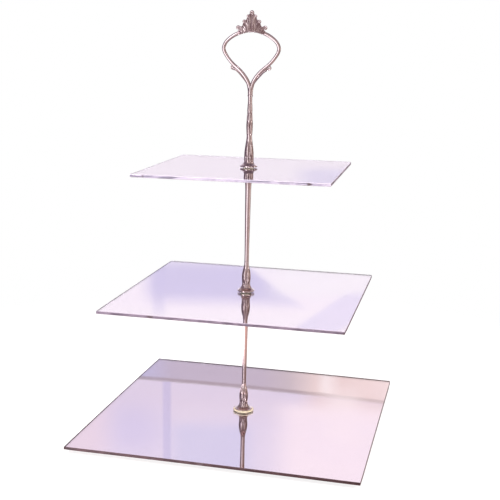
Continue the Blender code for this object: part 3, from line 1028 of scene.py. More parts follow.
@dataclass
class SocketBolt:
    """The round-headed bolt that enters the column from below."""

    shop: Workshop
    node: str = "base_bolt"
    head_height: float = 2.4
    head_radius: float = 4.0
    shank_radius: float = 2.0
    socket_depth: float = 1.3
    socket_flats: float = 2.5

    def build(self) -> None:
        """Turns the head with its hexagon socket and the threaded shank."""
        low, high = (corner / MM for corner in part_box(self.node))
        tall, head, wide = high.z - low.z, self.head_height, self.head_radius
        hexagon = self.socket_flats / 2 / cos(pi / 6)
        shank = self.shank_radius
        deep = self.socket_depth
        runs = [
            *straight((0.0, deep + 0.4), (hexagon, deep), (hexagon, 0.12), (hexagon + 0.15, 0.0), (2.3, 0.0)),
            [(2.3, 0.0), (3.2, 0.2), (3.8, 0.75), (wide, 1.4), (wide, head - 0.15)],
            *straight((wide, head - 0.15), (wide - 0.15, head), (shank, head), (shank, tall - 0.4)),
            *straight((shank, tall - 0.4), (shank - 0.4, tall), (0.0, tall)),
        ]
        points, faces = turn(outline_of(runs, 0.08), 48, low.z)
        near_axis = np.hypot(points[:, 0], points[:, 1]) < hexagon + 0.02
        inner = near_axis & (points[:, 2] < low.z + deep + 0.41)
        angle = np.arctan2(points[inner, 1], points[inner, 0])
        sector = (angle + pi / 6) % (pi / 3) - pi / 6
        points[inner, :2] *= (cos(pi / 6) / np.cos(sector))[:, None]
        bolt = make_object("base_bolt_button_head", points, faces, [self.shop.finishes.steel])
        values = {
            "Pitch": THREAD_PITCH * MM, "Depth": THREAD_DEPTH * MM, "Low": (low.z + head + 1.0) * MM,
            "High": high.z * MM, "Metal": self.shop.finishes.steel,
        }
        polish(self.shop.trees.bake(bolt, [(self.shop.trees.thread, values)]), 40)
        self.shop.fit(bolt, "column", Slot.STEEL, self.node)


# ---------------------------------------------------------------- the column


@dataclass
class CastTurning:
    """What the spacers and the handle's stem share: a domed flange and rows of leaves."""

    shop: Workshop
    sides: int = 132
    spacing: float = 0.32
    bore_radius: float = 2.3
    bore_depth: float = 8.6
    flange_radius: float = 9.4
    leaf_turn: float = radians(-46.7)
    half_leaf: float = pi / 6
    skirt: float = 0.6

    def flange_runs(self, skirt: float) -> list[Outline]:
        """The blind hole and the domed flange, up to the foot of the bulb.

        Args:
            skirt: How far the flange's rim hangs down round the washer under it.

        Returns:
            The outline's smooth runs.
        """
        wide, bore, deep = self.flange_radius, self.bore_radius, self.bore_depth
        return [
            *straight((0.0, deep), (bore, deep), (bore, 0.0), (wide - 1.3, 0.0)),
            *straight((wide - 1.3, 0.0), (wide - 1.2, -skirt), (wide - 0.2, -skirt)),
            [
                (wide - 0.2, -skirt), (wide - 0.04, 0.2 - skirt), (wide, 0.3), (wide - 0.1, 0.65),
                (wide - 0.35, 0.85), (wide - 0.6, 0.9),
            ],
            [(wide - 0.6, 0.9), (wide - 1.1, 0.85)],
            [(wide - 1.1, 0.85), (wide - 1.6, 1.3), (wide - 2.7, 2.0), (wide - 3.7, 2.9), (wide - 4.2, 4.4)],
        ]

    def leaf_row(
        self, foot: float, height: float, leaves: int, relief: float, turned: float, point: float,
    ) -> tuple[bpy.types.NodeTree, dict[str, Any]]:
        """One step for the leaf tree.

        Args:
            foot: World height of the row's foot.
            height: The leaves' height.
            leaves: How many leaves stand round the axis.
            relief: How far they stand proud.
            turned: The angle of the first leaf.
            point: How late the leaves narrow; larger is blunter.

        Returns:
            The tree and its values.
        """
        values = {
            "Leaves": float(leaves), "Turn": turned, "Foot": foot * MM, "Height": height * MM,
            "Relief": relief * MM, "Point": point, "Bore": (self.bore_radius + 0.08) * MM,
            "Metal": self.shop.finishes.silver,
        }
        return self.shop.trees.leaves, values


@dataclass
class Spacer(CastTurning):
    """One length of the column: flange, leafed bulb, slender waist and a rod that flares to its top."""

    node: str = "lower_spacer"
    bulb_top: float = 27.0

    def build(self) -> None:
        """Turns the spacer and raises its leaves."""
        low, high = (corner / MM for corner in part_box(self.node))
        tall, bore = high.z - low.z, self.bore_radius
        runs = [
            *self.flange_runs(self.skirt),
            [
                (5.2, 4.4), (4.55, 5.3), (4.3, 6.3), (4.28, 8.0), (4.5, 11.0), (4.62, 14.5), (4.4, 18.5),
                (3.75, 22.5), (2.95, 26.0), (2.5, 29.0), (2.42, 34.0), (2.45, 45.0), (2.62, 62.0),
                (2.86, 82.0), (3.05, 101.0), (3.2, 112.0), (3.6, 118.5), (4.4, 122.3),
            ],
            [(4.4, 122.3), (4.78, 122.6), (4.9, 123.3), (4.78, 124.0), (4.45, 124.3)],
            [(4.45, 124.3), (4.4, 125.2), (4.6, 126.6), (4.8, 127.6), (4.8, tall - 0.3), (4.6, tall)],
            *straight((4.6, tall), (bore, tall), (bore, tall - self.bore_depth), (0.0, tall - self.bore_depth)),
        ]
        points, faces = turn(outline_of(runs, self.spacing), self.sides, low.z)
        casting = make_object(f"{self.node}_casting", points, faces, [self.shop.finishes.silver])
        steps = [
            self.leaf_row(low.z + 1.2, 3.3, 14, 0.35, self.leaf_turn, 3.0),
            self.leaf_row(low.z + 4.6, self.bulb_top - 4.0, 6, 0.5, self.leaf_turn, 2.4),
            self.leaf_row(low.z + 4.6, 9.0, 6, 0.35, self.leaf_turn + self.half_leaf, 1.8),
        ]
        polish(self.shop.trees.bake(casting, steps), 45)
        self.shop.fit(casting, "column", Slot.CASTING, self.node)


# ---------------------------------------------------------------- the handle


@dataclass
class Handle(CastTurning):
    """The cast handle: petalled stem, onion-shaped loop, two leaf scrolls and the crown."""

    node: str = "handle"
    body: str = "handle"
    stem_length: float = 86.5
    loop_height: float = 55.4
    loop_half_width: float = 29.7
    rod_radius: float = 1.85
    crown_base: float = 140.6
    crown_height: float = 21.8
    crown_half_width: float = 16.5

    @property
    def foot(self) -> float:
        """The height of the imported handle's underside, in millimetres."""
        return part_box(self.node)[0].z / MM

    def build(self) -> None:
        """Builds the handle's stem, loop, scrolls, crown and beads."""
        self.build_stem()
        self.build_loop()
        self.build_crown()
        self.build_crown_beads()

    def build_stem(self) -> None:
        """Turns the stem and raises its petals."""
        foot, top = self.foot, self.stem_length
        runs = [
            *self.flange_runs(self.skirt),
            [
                (5.2, 4.4), (4.95, 5.4), (4.85, 7.0), (4.95, 9.5), (4.85, 13.0), (4.45, 17.0), (3.95, 21.5),
                (3.4, 26.0), (3.05, 29.5), (2.9, 32.0), (2.95, 35.0), (3.2, 40.0), (3.3, 44.5), (3.2, 49.0),
                (2.95, 54.0), (2.7, 59.0), (2.4, 65.0), (2.25, 70.0), (2.3, 73.5),
            ],
            [(2.3, 73.5), (2.7, 73.8), (2.85, 74.4), (2.75, 75.1), (2.5, 75.5)],
            [(2.5, 75.5), (2.65, 77.5), (2.6, 80.0), (2.3, 83.0), (1.5, top - 0.8), (0.0, top)],
        ]
        points, faces = turn(outline_of(runs, self.spacing), self.sides, foot)
        stem = make_object("handle_stem", points, faces, [self.shop.finishes.silver])
        steps = [
            self.leaf_row(foot + 1.2, 3.3, 14, 0.35, self.leaf_turn, 3.0),
            self.leaf_row(foot + 4.6, 26.5, 6, 0.55, self.leaf_turn, 1.6),
            self.leaf_row(foot + 4.6, 12.0, 6, 0.4, self.leaf_turn + self.half_leaf, 1.8),
            self.leaf_row(foot + 33.0, 17.0, 6, 0.4, self.leaf_turn, 1.5),
            self.leaf_row(foot + 48.0, 12.0, 6, 0.3, self.leaf_turn + self.half_leaf, 1.8),
            self.leaf_row(foot + 58.0, 15.0, 6, 0.25, self.leaf_turn, 1.8),
        ]
        polish(self.shop.trees.bake(stem, steps), 45)
        self.shop.fit(stem, self.body, Slot.CASTING, self.node)

    def spot(self, across: float, up: float) -> tuple[float, float]:
        """A spot on the loop, from shares of its half width and of its height above the fork."""
        return across * self.loop_half_width, self.stem_length + up * self.loop_height

    def arm_sweep(self) -> Part:
        """One arm of the loop, grooved along its front and back."""
        top = self.stem_length
        rooted = [(0.9, top - 10.0, 1.5), (1.0, top - 6.0, 1.9), (1.35, top - 2.5, 2.15)]
        shares = (
            (0.087, 0.027, 0.3), (0.162, 0.102, 0.3), (0.259, 0.173, 0.25), (0.374, 0.241, 0.2),
            (0.498, 0.302, 0.05), (0.63, 0.361, 0.0), (0.758, 0.43, 0.0), (0.875, 0.511, 0.0),
            (0.966, 0.593, 0.05), (1.0, 0.668, 0.1), (0.96, 0.741, 0.05), (0.875, 0.805, 0.05),
            (0.747, 0.864, 0.1), (0.599, 0.914, 0.15), (0.414, 0.955, 0.1), (0.202, 0.988, 0.0), (0.0, 1.0, -0.2),
        )
        knots = [(x, z, 0.0, r) for x, z, r in rooted]
        knots += [(*self.spot(across, up), 0.0, self.rod_radius + extra) for across, up, extra in shares]
        path = curve_through(knots, 0.55)
        width = path[:, 3]
        along = np.arange(len(path)) / len(path)
        groove = np.interp(along, [0.0, 0.08, 0.16, 0.85, 0.95, 1.0], [0.0, 0.0, 0.1, 0.1, 0.05, 0.0])
        return Sweep(path[:, :2], width, width * 0.95, groove, sides=28).build()

    def sheath_sweep(self) -> Part:
        """The leaf that wraps an arm's outer side from the fork and flips out into a scroll."""
        top = self.stem_length
        knots = [
            (1.6, top - 3.0, 0.0, 0.5), (3.4, top + 1.2, 0.0, 1.3), (6.2, top + 5.3, 0.0, 1.55),
            (9.4, top + 9.0, 0.0, 1.6), (12.9, top + 12.6, 0.0, 1.55), (16.4, top + 14.9, 0.0, 1.4),
            (19.4, top + 15.6, 0.0, 1.2),
        ]
        body = curve_through(knots, 0.45)
        centre = np.array([19.6, top + 17.4])
        angles = np.radians(np.linspace(-84, 250, 34))
        reach = np.linspace(1.75, 0.75, len(angles))
        curl = np.column_stack([centre[0] + reach * np.cos(angles), centre[1] + reach * np.sin(angles)])
        path = np.vstack([body[:, :2], curl[1:]])
        width = np.r_[body[:, 3], np.linspace(1.1, 0.55, len(curl) - 1)]
        deep = np.r_[body[:, 3] * 1.12, np.linspace(1.5, 1.1, len(curl) - 1)]
        along = np.arange(len(path)) / len(path)
        groove = np.interp(along, [0.0, 0.1, 0.6, 0.75, 1.0], [0.0, 0.3, 0.35, 0.15, 0.0])
        return Sweep(path, width, deep, groove, sides=24).build()

    def build_loop(self) -> None:
        """Sweeps both arms with their leaf scrolls."""
        parts = []
        for side in (self.arm_sweep(), self.sheath_sweep()):
            parts += [side, mirrored(side)]
        points, faces, hollow = lifted(merge_parts(parts), self.foot)
        loop = make_object("handle_loop", points, faces, [self.shop.finishes.silver], recess=hollow)
        self.shop.fit(loop, self.body, Slot.CASTING, self.node)

    def petal_sweep(
        self, end: tuple[float, float], ring: float, root: tuple[float, float], bow: float,
    ) -> Part:
        """A crown petal that rises from the foot and curls outwards into a hollow round end.

        Args:
            end: The curl's centre, across and above the crown's base.
            ring: The curl's outer radius.
            root: Where the petal starts.
            bow: How far it bows outwards on its way.

        Returns:
            Points, faces and hollows.
        """
        tube = 0.42 * ring
        track = ring - tube
        start_angle = radians(20)
        join = (end[0] - track * cos(start_angle), end[1] + track * sin(start_angle))
        middle = ((root[0] + join[0]) / 2 - bow, (root[1] + join[1]) / 2 + bow)
        stem = curve_through([(*root, 0.0, 1.1), (*middle, 0.0, 1.5), (*join, 0.0, tube * 1.45)], 0.35)
        angles = np.radians(np.linspace(160, -190, 36))
        reach = np.linspace(track, track * 0.75, len(angles))
        curl = np.column_stack([end[0] + reach * np.cos(angles), end[1] + reach * np.sin(angles)])
        path = np.vstack([stem[:, :2], curl[1:]])
        width = np.r_[stem[:, 3], np.linspace(tube * 1.3, tube * 0.8, len(curl) - 1)]
        deep = np.r_[np.linspace(2.6, 2.1, len(stem)), np.linspace(2.1, 1.5, len(curl) - 1)]
        groove = np.r_[np.full(len(stem), 0.35), np.linspace(0.3, 0.0, len(curl) - 1)]
        return Sweep(path, width, deep, groove, sides=20).build()

    def rib_sweep(
        self, root: tuple[float, float], end: tuple[float, float], bow: float, thick: float,
    ) -> Part:
        """A thin rib that fans out from the crown's foot."""
        middle = ((root[0] + end[0]) / 2 - bow, (root[1] + end[1]) / 2 + bow)
        path = curve_through([(*root, 0.0, thick * 0.8), (*middle, 0.0, thick), (*end, 0.0, thick * 0.55)], 0.4)
        deep = np.linspace(2.5, 1.3, len(path))
        return Sweep(path[:, :2], path[:, 3], deep, np.zeros(len(path)), sides=12).build()

    def arch_height(self, across: np.ndarray) -> np.ndarray:
        """The height of the loop's arch above the crown's base, at distances from the middle."""
        shares = ((0.0, 1.0), (0.202, 0.988), (0.414, 0.955), (0.599, 0.914))
        spots = np.array([self.spot(wide, up) for wide, up in shares])
        return np.interp(np.abs(across), spots[:, 0], spots[:, 1]) - self.crown_base

    def web(self) -> Part:
        """The sheet behind the ribs, thick where it wraps the arch and thin at its tip; all of it takes the metal's
        painted shade.

        Returns:
            Points, faces and hollows.
        """
        shape = np.array([
            (-1.0, 13.2), (0.6, 13.9), (2.6, 14.4), (4.2, 12.2), (6.0, 10.0), (8.4, 9.2), (10.4, 7.6),
            (12.6, 5.6), (15.2, 4.6), (17.4, 3.0), (19.2, 1.6), (20.2, 0.6),
        ])
        columns = np.linspace(-1.0, 1.0, 25)
        layers = []
        for height, wide in shape:
            x = columns * wide
            share = max(0.0, 1.0 - (height + 1.0) / 6.0)
            z = height * np.ones_like(x) + share * (self.arch_height(x) - 1.7 - height)
            layers.append((x, z, 0.85 + 1.3 * share**0.7))
        points = [(a, side * thick, b) for side in (-1.0, 1.0) for x, z, thick in layers for a, b in zip(x, z)]
        rows, count = len(layers), len(columns)
        faces: Faces = []
        for side in (0, rows * count):
            for row in range(rows - 1):
                for step in range(count - 1):
                    corner = side + row * count + step
                    faces.append((corner, corner + 1, corner + count + 1, corner + count))
        rim = list(range(count)) + [row * count + count - 1 for row in range(1, rows)]
        rim += [(rows - 1) * count + step for step in range(count - 2, -1, -1)]
        rim += [row * count for row in range(rows - 2, 0, -1)]
        faces += [(a, b, b + rows * count, a + rows * count) for a, b in zip(rim, rim[1:] + rim[:1])]
        # The whole web is marked as a hollow, so it takes the metal's painted shade all over.
        return np.array(points), faces, np.ones(len(points))

    def vein_sweep(self) -> Part:
        """The crown's broad middle vein, grooved along its front and back."""
        knots = [
            (0.0, -0.4, 0.0, 1.3), (0.0, 3.0, 0.0, 2.1), (0.0, 8.0, 0.0, 2.0),
            (0.0, 14.0, 0.0, 1.7), (0.0, 19.2, 0.0, 1.2),
        ]
        path = curve_through(knots, 0.4)
        deep = np.interp(path[:, 1], [0.0, 6.0, 19.0], [2.9, 2.5, 2.0])
        return Sweep(path[:, :2], path[:, 3], deep, np.full(len(path), 0.45), sides=28).build()

    def tip_sweep(self) -> Part:
        """The small round ring at the crown's tip."""
        angles = np.radians(np.linspace(-90, 270, 40))
        path = np.column_stack([1.35 * np.cos(angles), self.crown_height - 2.35 + 1.3 * np.sin(angles)])
        size = np.ones(len(angles))
        return Sweep(path, 1.05 * size, 1.6 * size, 0.0 * size, sides=18).build()

    def build_crown(self) -> None:
        """Fans the crown's petals and ribs over a web, with the grooved vein in front."""
        wide, tall = self.crown_half_width, self.crown_height
        ends = (
            ((0.873 * wide, 0.175 * tall), 2.35, (8.4, -0.9), 0.9),
            ((0.485 * wide, 0.462 * tall), 2.05, (4.6, 0.2), 0.8),
            ((0.236 * wide, 0.717 * tall), 1.75, (2.4, 1.6), 0.5),
        )
        ribs = (
            ((11.4, -1.2), (14.6, 0.6), 0.2, 0.9), ((10.0, -0.9), (13.6, 3.2), 0.5, 0.85),
            ((7.2, -0.4), (11.6, 4.9), 0.9, 0.85), ((6.2, -0.1), (9.8, 6.8), 0.8, 0.8),
            ((3.8, 0.3), (6.6, 10.9), 0.6, 0.8), ((3.2, 0.6), (5.0, 12.8), 0.5, 0.75),
        )
        ridge = [(1.5, 0.4, 0.0, 0.75), (1.45, 6.0, 0.0, 0.85), (2.3, 12.0, 0.0, 0.8), (2.9, 15.4, 0.0, 0.6)]
        paired = [self.petal_sweep(end, ring, root, bow) for end, ring, root, bow in ends]
        paired += [self.rib_sweep(root, end, bow, thick) for root, end, bow, thick in ribs]
        path = curve_through(ridge, 0.4)
        deep = np.linspace(3.3, 2.2, len(path))
        paired.append(Sweep(path[:, :2], path[:, 3], deep, np.zeros(len(path)), sides=16).build())
        parts = [part for one in paired for part in (one, mirrored(one))]
        parts += [self.vein_sweep(), self.tip_sweep(), self.web()]
        points, faces, hollow = lifted(merge_parts(parts), self.foot + self.crown_base)
        crown = make_object("handle_crown", points, faces, [self.shop.finishes.silver], recess=hollow)
        self.shop.fit(crown, self.body, Slot.CASTING, self.node)

    def build_crown_beads(self) -> None:
        """Strings a row of beads along the arch under the crown, on the front and on the back."""
        base = self.foot + self.crown_base
        x = np.linspace(-12.6, 12.6, 60)
        for name, depth in (("front", -2.0), ("back", 2.0)):
            line = np.column_stack([x, np.full(len(x), depth), base + self.arch_height(x) - 1.0])
            mesh = bpy.data.meshes.new(f"handle_crown_beads_{name}")
            mesh.from_pydata((line * MM).tolist(), [(i, i + 1) for i in range(len(line) - 1)], [])
            beads = bpy.data.objects.new(mesh.name, mesh)
            bpy.context.scene.collection.objects.link(beads)
            values = {"Count": 13, "Bead Radius": 0.85 * MM, "Size Change": 0.15, "Metal": self.shop.finishes.silver}
            self.shop.trees.bake(beads, [(self.shop.trees.beads, values)])
            self.shop.fit(beads, self.body, Slot.CASTING, self.node)


# ---------------------------------------------------------------- camera, light and floor


@dataclass
class Studio:
    """The camera, the soft lights, the pale floor and what the polished surfaces mirror."""

    azimuth: float = radians(13.305)
    elevation: float = radians(10.597)
    distance: float = 1.0489
    target: tuple[float, float, float] = (0.0, 0.0, 0.20957)
    lens: float = 69.78
    roll: float = radians(1.26)
    shift: tuple[float, float] = (0.0056, -0.0324)
    floor_radius: float = 0.62

    def back(self) -> Vector:
        """The way from the stand to the camera."""
        level = cos(self.elevation)
        return Vector((sin(self.azimuth) * level, -cos(self.azimuth) * level, sin(self.elevation)))

    def add_camera(self) -> None:
        """Places the camera at the chosen angle, distance and roll."""
        data = bpy.data.cameras.new("camera")
        data.lens, data.sensor_width = self.lens, 36.0
        data.shift_x, data.shift_y = self.shift
        data.clip_end = 20.0
        back = self.back()
        right = Vector((cos(self.azimuth), sin(self.azimuth), 0.0))
        up = back.cross(right)
        across = cos(self.roll) * right + sin(self.roll) * up
        upward = -sin(self.roll) * right + cos(self.roll) * up
        place = Vector(self.target) + self.distance * back
        columns = Matrix((across, upward, back)).transposed().to_4x4()
        camera = bpy.data.objects.new("camera", data)
        camera.matrix_world = Matrix.Translation(place) @ columns
        bpy.context.scene.collection.objects.link(camera)
        bpy.context.scene.camera = camera

    def add_area(
        self, name: str, turned: float, rise: float, away: float,
        size: tuple[float, float], power: float, color: Color,
    ) -> None:
        """Adds a soft light that faces the stand.

        Args:
            name: The light's name.
            turned: Degrees to the right of the camera, seen from above.
            rise: Degrees above the horizon.
            away: Metres from the stand.
            size: Width and height in metres.
            power: Watts.
            color: The light's colour.
        """
        data = bpy.data.lights.new(name, "AREA")
        data.shape, data.size, data.size_y = "RECTANGLE", *size
        data.energy, data.color = power, color
        heading, lift = self.azimuth + radians(turned), radians(rise)
        way = Vector((sin(heading) * cos(lift), -cos(heading) * cos(lift), sin(lift)))
        light = bpy.data.objects.new(name, data)
        light.visible_glossy = False
        light.location = Vector(self.target) + away * way
        light.rotation_euler = way.to_track_quat("Z", "Y").to_euler()
        bpy.context.scene.collection.objects.link(light)

    def add_floor(self) -> None:
        """Lays a pale round floor that fades out into the white around it."""
        wide = self.floor_radius / MM
        points, faces = turn(np.array([(0.0, -1.0), (wide, -1.0), (wide, 0.0), (0.0, 0.0)]), 96, 0.0)
        material = bpy.data.materials.new("pale_floor")
        material.use_nodes = True
        sheet = NodeSheet(material.node_tree)
        surface = material.node_tree.nodes["Principled BSDF"]
        place = sheet.add("ShaderNodeTexCoord").outputs["Object"]
        flat = sheet.add("ShaderNodeVectorMath", {0: place}, operation="LENGTH").outputs["Value"]
        edge = sheet.step(flat, 0.30, self.floor_radius - 0.03)
        cloud = sheet.add("ShaderNodeTexNoise", {"Vector": place, "Scale": 6.0, "Detail": 2.0}).outputs[0]
        tone = sheet.blend(cloud, (0.93, 0.925, 0.93), (0.96, 0.955, 0.96))
        links = material.node_tree.links
        links.new(sheet.rest(edge), surface.inputs["Alpha"])
        surface.inputs["Roughness"].default_value = 0.8
        surface.inputs["Specular IOR Level"].default_value = 0.1
        seen = sheet.add("ShaderNodeLightPath").outputs["Is Camera Ray"]
        spot = sheet.add("ShaderNodeSeparateXYZ", {0: place}).outputs
        across = sheet.calc("MULTIPLY_ADD", spot[0], cos(self.azimuth), sheet.product(spot[1], sin(self.azimuth)))
        # Seen by all but the camera, the floor's left half is painted light and its right half painted shade.
        lit = sheet.blend(sheet.step(across, -0.16, 0.05), (0.80, 0.69, 0.72), (0.30, 0.195, 0.175))
        pale = sheet.blend(0.25, (0.0, 0.0, 0.0), tone)
        links.new(sheet.blend(seen, lit, pale), surface.inputs["Base Color"])
        links.new(tone, surface.inputs["Emission Color"])
        links.new(sheet.product(seen, 0.93), surface.inputs["Emission Strength"])
        floor = make_object("floor", points, faces, [material], smooth=False)

    def add_world(self) -> None:
        """Paints the room: plain white to the eye, and soft coloured panels that the metal and mirrors show."""
        world = bpy.data.worlds.new("room")
        world.use_nodes = True
        bpy.context.scene.world = world
        tree = world.node_tree
        tree.nodes.clear()
        sheet = NodeSheet(tree)
        way = sheet.add("ShaderNodeTexCoord").outputs["Generated"]
        parts = sheet.add("ShaderNodeSeparateXYZ", {0: way}).outputs
        ahead = (-sin(self.azimuth), cos(self.azimuth))
        right = (cos(self.azimuth), sin(self.azimuth))
        forward = sheet.calc("MULTIPLY_ADD", parts[0], ahead[0], sheet.product(parts[1], ahead[1]))
        side = sheet.calc("MULTIPLY_ADD", parts[0], right[0], sheet.product(parts[1], right[1]))
        turned = sheet.product(sheet.calc("ARCTAN2", side, forward), 180 / pi)
        rise = sheet.product(sheet.calc("ARCSINE", parts[2]), 180 / pi)
        ahead_share = sheet.calc("MAXIMUM", forward, 0.05)
        across = sheet.product(sheet.calc("DIVIDE", side, ahead_share), 100.0)
        up = sheet.product(sheet.calc("DIVIDE", parts[2], ahead_share), 100.0)
        color = self.far_wall(sheet, across, up)
        color = self.near_side(sheet, turned, rise, color)
        seen = sheet.add("ShaderNodeLightPath").outputs["Is Camera Ray"]
        plain = sheet.add("ShaderNodeBackground", {"Color": (1.0, 1.0, 1.0, 1.0), "Strength": 1.0})
        room = sheet.add("ShaderNodeBackground", {"Color": color, "Strength": 1.08})
        mixed = sheet.add("ShaderNodeMixShader", {0: seen, 1: room.outputs[0], 2: plain.outputs[0]})
        sheet.add("ShaderNodeOutputWorld", {"Surface": mixed.outputs[0]})

    def ramp(self, sheet: NodeSheet, value: Any, stops: Sequence[tuple[float, Color]]) -> Socket:
        """A colour that changes along a value.

        Args:
            sheet: The world's node sheet.
            value: The value's socket.
            stops: (value, colour) pairs in rising order.

        Returns:
            The colour's socket.
        """
        low, high = stops[0][0], stops[-1][0]
        share = sheet.calc("DIVIDE", sheet.calc("SUBTRACT", value, low), high - low, clamp=True)
        node = sheet.add("ShaderNodeValToRGB", {0: share})
        places = node.color_ramp.elements
        while len(places) < len(stops):
            places.new(0.5)
        for place, (at, tone) in zip(places, stops):
            place.position = (at - low) / (high - low)
            place.color = (*tone, 1.0)
        return node.outputs["Color"]

    def window(self, sheet: NodeSheet, value: Any, low: float, high: float, soft: float) -> Socket:
        """A share that is 1 between two values and fades out softly on both sides."""
        rising = sheet.step(value, low - soft, low + soft)
        return sheet.product(rising, sheet.rest(sheet.step(value, high - soft, high + soft)))

    def paint(self, sheet: NodeSheet, color: Any, patches: Sequence[tuple[Any, Any, float, Any]]) -> Socket:
        """Lays patches over a colour, one after another.

        Args:
            sheet: The world's node sheet.
            color: The colour underneath.
            patches: (share across, share upwards, strength, colour) of each.

        Returns:
            The colour's socket.
        """
        for wide, tall, amount, tone in patches:
            color = sheet.blend(sheet.product(wide, tall, amount), color, tone)
        return color

    def far_wall(self, sheet: NodeSheet, across: Any, up: Any) -> Socket:
        """What the plates mirror: a pale pink wall hung with lavender cloths, above a shelf line.

        Args:
            sheet: The world's node sheet.
            across: Centimetres to the right on a wall one metre beyond the stand.
            up: Centimetres up on that wall.

        Returns:
            The colour's socket.
        """
        color = self.ramp(sheet, up, (
            (-10.0, (0.42, 0.33, 0.33)), (0.0, (0.90, 0.80, 0.90)), (8.0, (1.0, 0.91, 1.0)),
            (12.0, (1.0, 0.93, 1.0)), (16.0, (1.0, 0.90, 0.99)), (20.0, (0.95, 0.90, 1.0)),
            (25.5, (1.0, 0.92, 1.0)), (28.0, (1.0, 0.93, 0.99)), (34.0, (1.0, 0.90, 0.98)), (62.0, (0.80, 0.74, 0.82)),
        ))
        lavender = (0.68, 0.63, 0.86)
        between = partial(self.window, sheet)
        color = self.paint(sheet, color, (
            (between(across, 5.4, 12.0, 1.8), between(up, 11.7, 16.0, 0.6), 0.6, (0.76, 0.71, 0.93)),
            (between(across, -10.4, 9.0, 1.4), self.cool_cloth(sheet, across, up), 0.9, lavender),
            (between(across, -9.9, -8.6, 0.4), between(up, 22.5, 27.6, 0.8), 0.4, lavender),
            (sheet.step(across, 1.0, 5.0), between(up, 20.0, 25.4, 0.9), 0.9, (1.0, 0.95, 1.0)),
            (self.slanted_patch(sheet, across, up), 1.0, 0.55, (0.78, 0.72, 0.94)),
        ))
        level = sheet.calc("MULTIPLY_ADD", across, -0.104, up)
        return sheet.blend(sheet.step(level, 30.0, 30.7), color, self.lower_wall(sheet, across, up, level))

    def cool_cloth(self, sheet: NodeSheet, across: Any, up: Any) -> Socket:
        """The lavender cloth on the upper wall, cut off by a slanted edge on its right."""
        edge = sheet.calc("MULTIPLY_ADD", across, -0.7, up)
        left_of_edge = sheet.step(edge, 21.6, 22.8)
        return sheet.product(left_of_edge, self.window(sheet, up, 21.8, 26.1, 1.2))

    def slanted_patch(self, sheet: NodeSheet, across: Any, up: Any) -> Socket:
        """A lavender patch at the upper wall's lower right."""
        edge = sheet.calc("MULTIPLY_ADD", across, 0.74, up)
        return sheet.product(self.window(sheet, edge, 32.8, 36.5, 0.5), self.window(sheet, up, 24.9, 29.4, 0.6))

    def lower_wall(self, sheet: NodeSheet, across: Any, up: Any, level: Any) -> Socket:
        """What the base plate mirrors: a grey band over a shelf line, pale below, warm on the right.

        Args:
            sheet: The world's node sheet.
            across: Centimetres to the right.
            up: Centimetres up.
            level: Centimetres up, measured square to the slanted shelf line.

        Returns:
            The colour's socket.
        """
        grey = self.ramp(sheet, across, (
            (-12.0, (0.58, 0.54, 0.76)), (-8.0, (0.57, 0.49, 0.60)), (2.0, (0.58, 0.49, 0.58)),
            (5.0, (0.62, 0.52, 0.56)), (8.0, (0.84, 0.68, 0.66)), (9.2, (0.97, 0.85, 0.84)),
            (11.0, (0.86, 0.67, 0.65)), (16.0, (0.94, 0.77, 0.75)),
        ))
        pale = self.ramp(sheet, up, (
            (33.0, (0.76, 0.67, 0.80)), (37.0, (0.78, 0.68, 0.80)),
            (41.0, (0.80, 0.71, 0.84)), (50.0, (0.82, 0.73, 0.86)),
        ))
        color = sheet.blend(sheet.step(level, 34.6, 34.9), grey, pale)
        below = sheet.step(level, 34.8, 35.0)
        far_left = sheet.rest(sheet.step(across, -17.5, -13.5))
        between = partial(self.window, sheet)
        return self.paint(sheet, color, (
            (between(level, 34.35, 34.9, 0.16), 1.0, 0.7, (0.40, 0.32, 0.34)),
            (sheet.step(across, 5.5, 9.0), between(level, 34.6, 37.8, 1.2), 0.75, (0.88, 0.69, 0.66)),
            (between(across, 9.4, 13.0, 1.4), between(up, 34.5, 42.5, 2.4), 0.6, (1.0, 0.88, 0.87)),
            (between(across, -9.1, -8.2, 0.2), below, 0.5, (0.52, 0.47, 0.72)),
            (between(across, -15.5, -9.4, 3.0), between(up, 37.5, 44.5, 3.4), 0.5, (0.63, 0.57, 0.82)),
            (far_left, below, 0.5, (0.88, 0.70, 0.76)),
            (between(across, -8.0, 0.8, 1.5), between(up, 40.5, 50.0, 1.4), 0.6, (0.64, 0.62, 0.83)),
            (sheet.step(across, 2.0, 6.5), between(up, 37.2, 60.0, 1.6), 0.85, (1.0, 0.86, 0.91)),
        ))

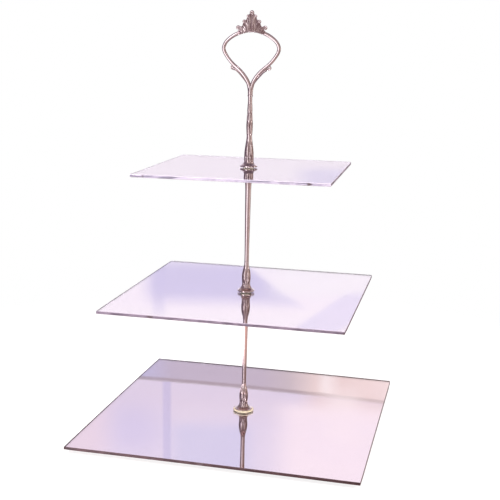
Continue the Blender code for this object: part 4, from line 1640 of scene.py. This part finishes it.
    def near_side(self, sheet: NodeSheet, turned: Any, rise: Any, color: Any) -> Socket:
        """What the round metal shows: dim sides and ceiling, a floor lit from the left, two narrow panels.

        Args:
            sheet: The world's node sheet.
            turned: Degrees to the right of straight ahead.
            rise: Degrees above the horizon.
            color: The far wall's colour.

        Returns:
            The colour's socket.
        """
        off = sheet.calc("ABSOLUTE", turned)
        low_sky = sheet.rest(sheet.step(rise, 34.0, 48.0))
        below = sheet.rest(sheet.step(rise, -5.0, 3.0))
        sides = sheet.blend(sheet.step(turned, -60.0, 60.0), (0.20, 0.14, 0.18), (0.24, 0.15, 0.14))
        left_panel = self.window(sheet, turned, -149.0, -141.0, 3.5), self.window(sheet, rise, -16.0, 24.0, 5.0)
        right_panel = self.window(sheet, turned, 88.0, 98.0, 4.0), self.window(sheet, rise, -14.0, 14.0, 5.0)
        return self.paint(sheet, color, (
            (sheet.step(off, 24.0, 36.0), low_sky, 1.0, sides),
            (sheet.step(off, 120.0, 160.0), low_sky, 1.0, (0.52, 0.40, 0.39)),
            (sheet.step(rise, 34.0, 50.0), 1.0, 1.0, (0.20, 0.14, 0.17)),
            (below, sheet.step(off, 96.0, 140.0), 1.0, (0.42, 0.30, 0.30)),
            (self.window(sheet, turned, -160.0, -118.0, 8.0), below, 1.0, (0.85, 0.72, 0.77)),
            (*left_panel, 1.0, (3.1, 2.8, 2.9)),
            (*right_panel, 1.0, (2.4, 2.0, 1.85)),
        ))

    def build(self) -> None:
        """Sets the picture's tones, then the camera, room, lights and floor."""
        bpy.context.scene.view_settings.view_transform = "Standard"
        self.add_camera()
        self.add_world()
        self.add_area("key_softbox", -38.0, 42.0, 1.5, (0.35, 0.6), 40.0, (1.0, 0.99, 0.98))
        self.add_area("fill_softbox", 48.0, 30.0, 1.7, (0.25, 0.8), 22.0, (1.0, 0.95, 0.9))
        self.add_area("top_softbox", 0.0, 88.0, 1.6, (0.45, 0.45), 24.0, (1.0, 0.98, 1.0))
        self.add_floor()


# ---------------------------------------------------------------- the whole stand


def build_stand(shop: Workshop) -> None:
    """Builds every piece from the table up.

    Args:
        shop: The materials and trees.
    """
    for row in ("front", "back"):
        for column in ("left", "right"):
            BumperFoot(shop, f"foot_{row}_{column}").build()
    MirrorPlate(shop, "base_plate", "base", bow=0.026).build()
    MirrorPlate(shop, "middle_plate", "middle_tier", turned=0.5).build()
    MirrorPlate(shop, "top_plate", "top_tier", turned=2.0).build()
    cushions = (
        ("base_under_cushion", "base"), ("base_cushion", "base"), ("middle_under_cushion", "middle_tier"),
        ("middle_cushion", "middle_tier"), ("top_under_cushion", "top_tier"), ("top_cushion", "handle_washer"),
    )
    for node, body in cushions:
        Washer(shop, node, body, Slot.NYLON, inner_radius=2.4).build()
    Washer(shop, "bolt_washer", "column", Slot.STEEL, inner_radius=2.2, groove=0.0).build()
    SocketBolt(shop).build()
    for node in ("middle_stud", "top_stud"):
        ThreadedStud(shop, node).build()
    Spacer(shop, node="lower_spacer", skirt=0.02).build()
    Spacer(shop, node="upper_spacer").build()
    Handle(shop).build()


def main() -> None:
    """Builds the stand and its studio."""
    logging.basicConfig(level=logging.INFO, format="%(message)s")
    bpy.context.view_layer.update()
    shop = Workshop(Finishes(), Trees())
    build_stand(shop)
    Studio().build()


if __name__ == "__main__":
    main()
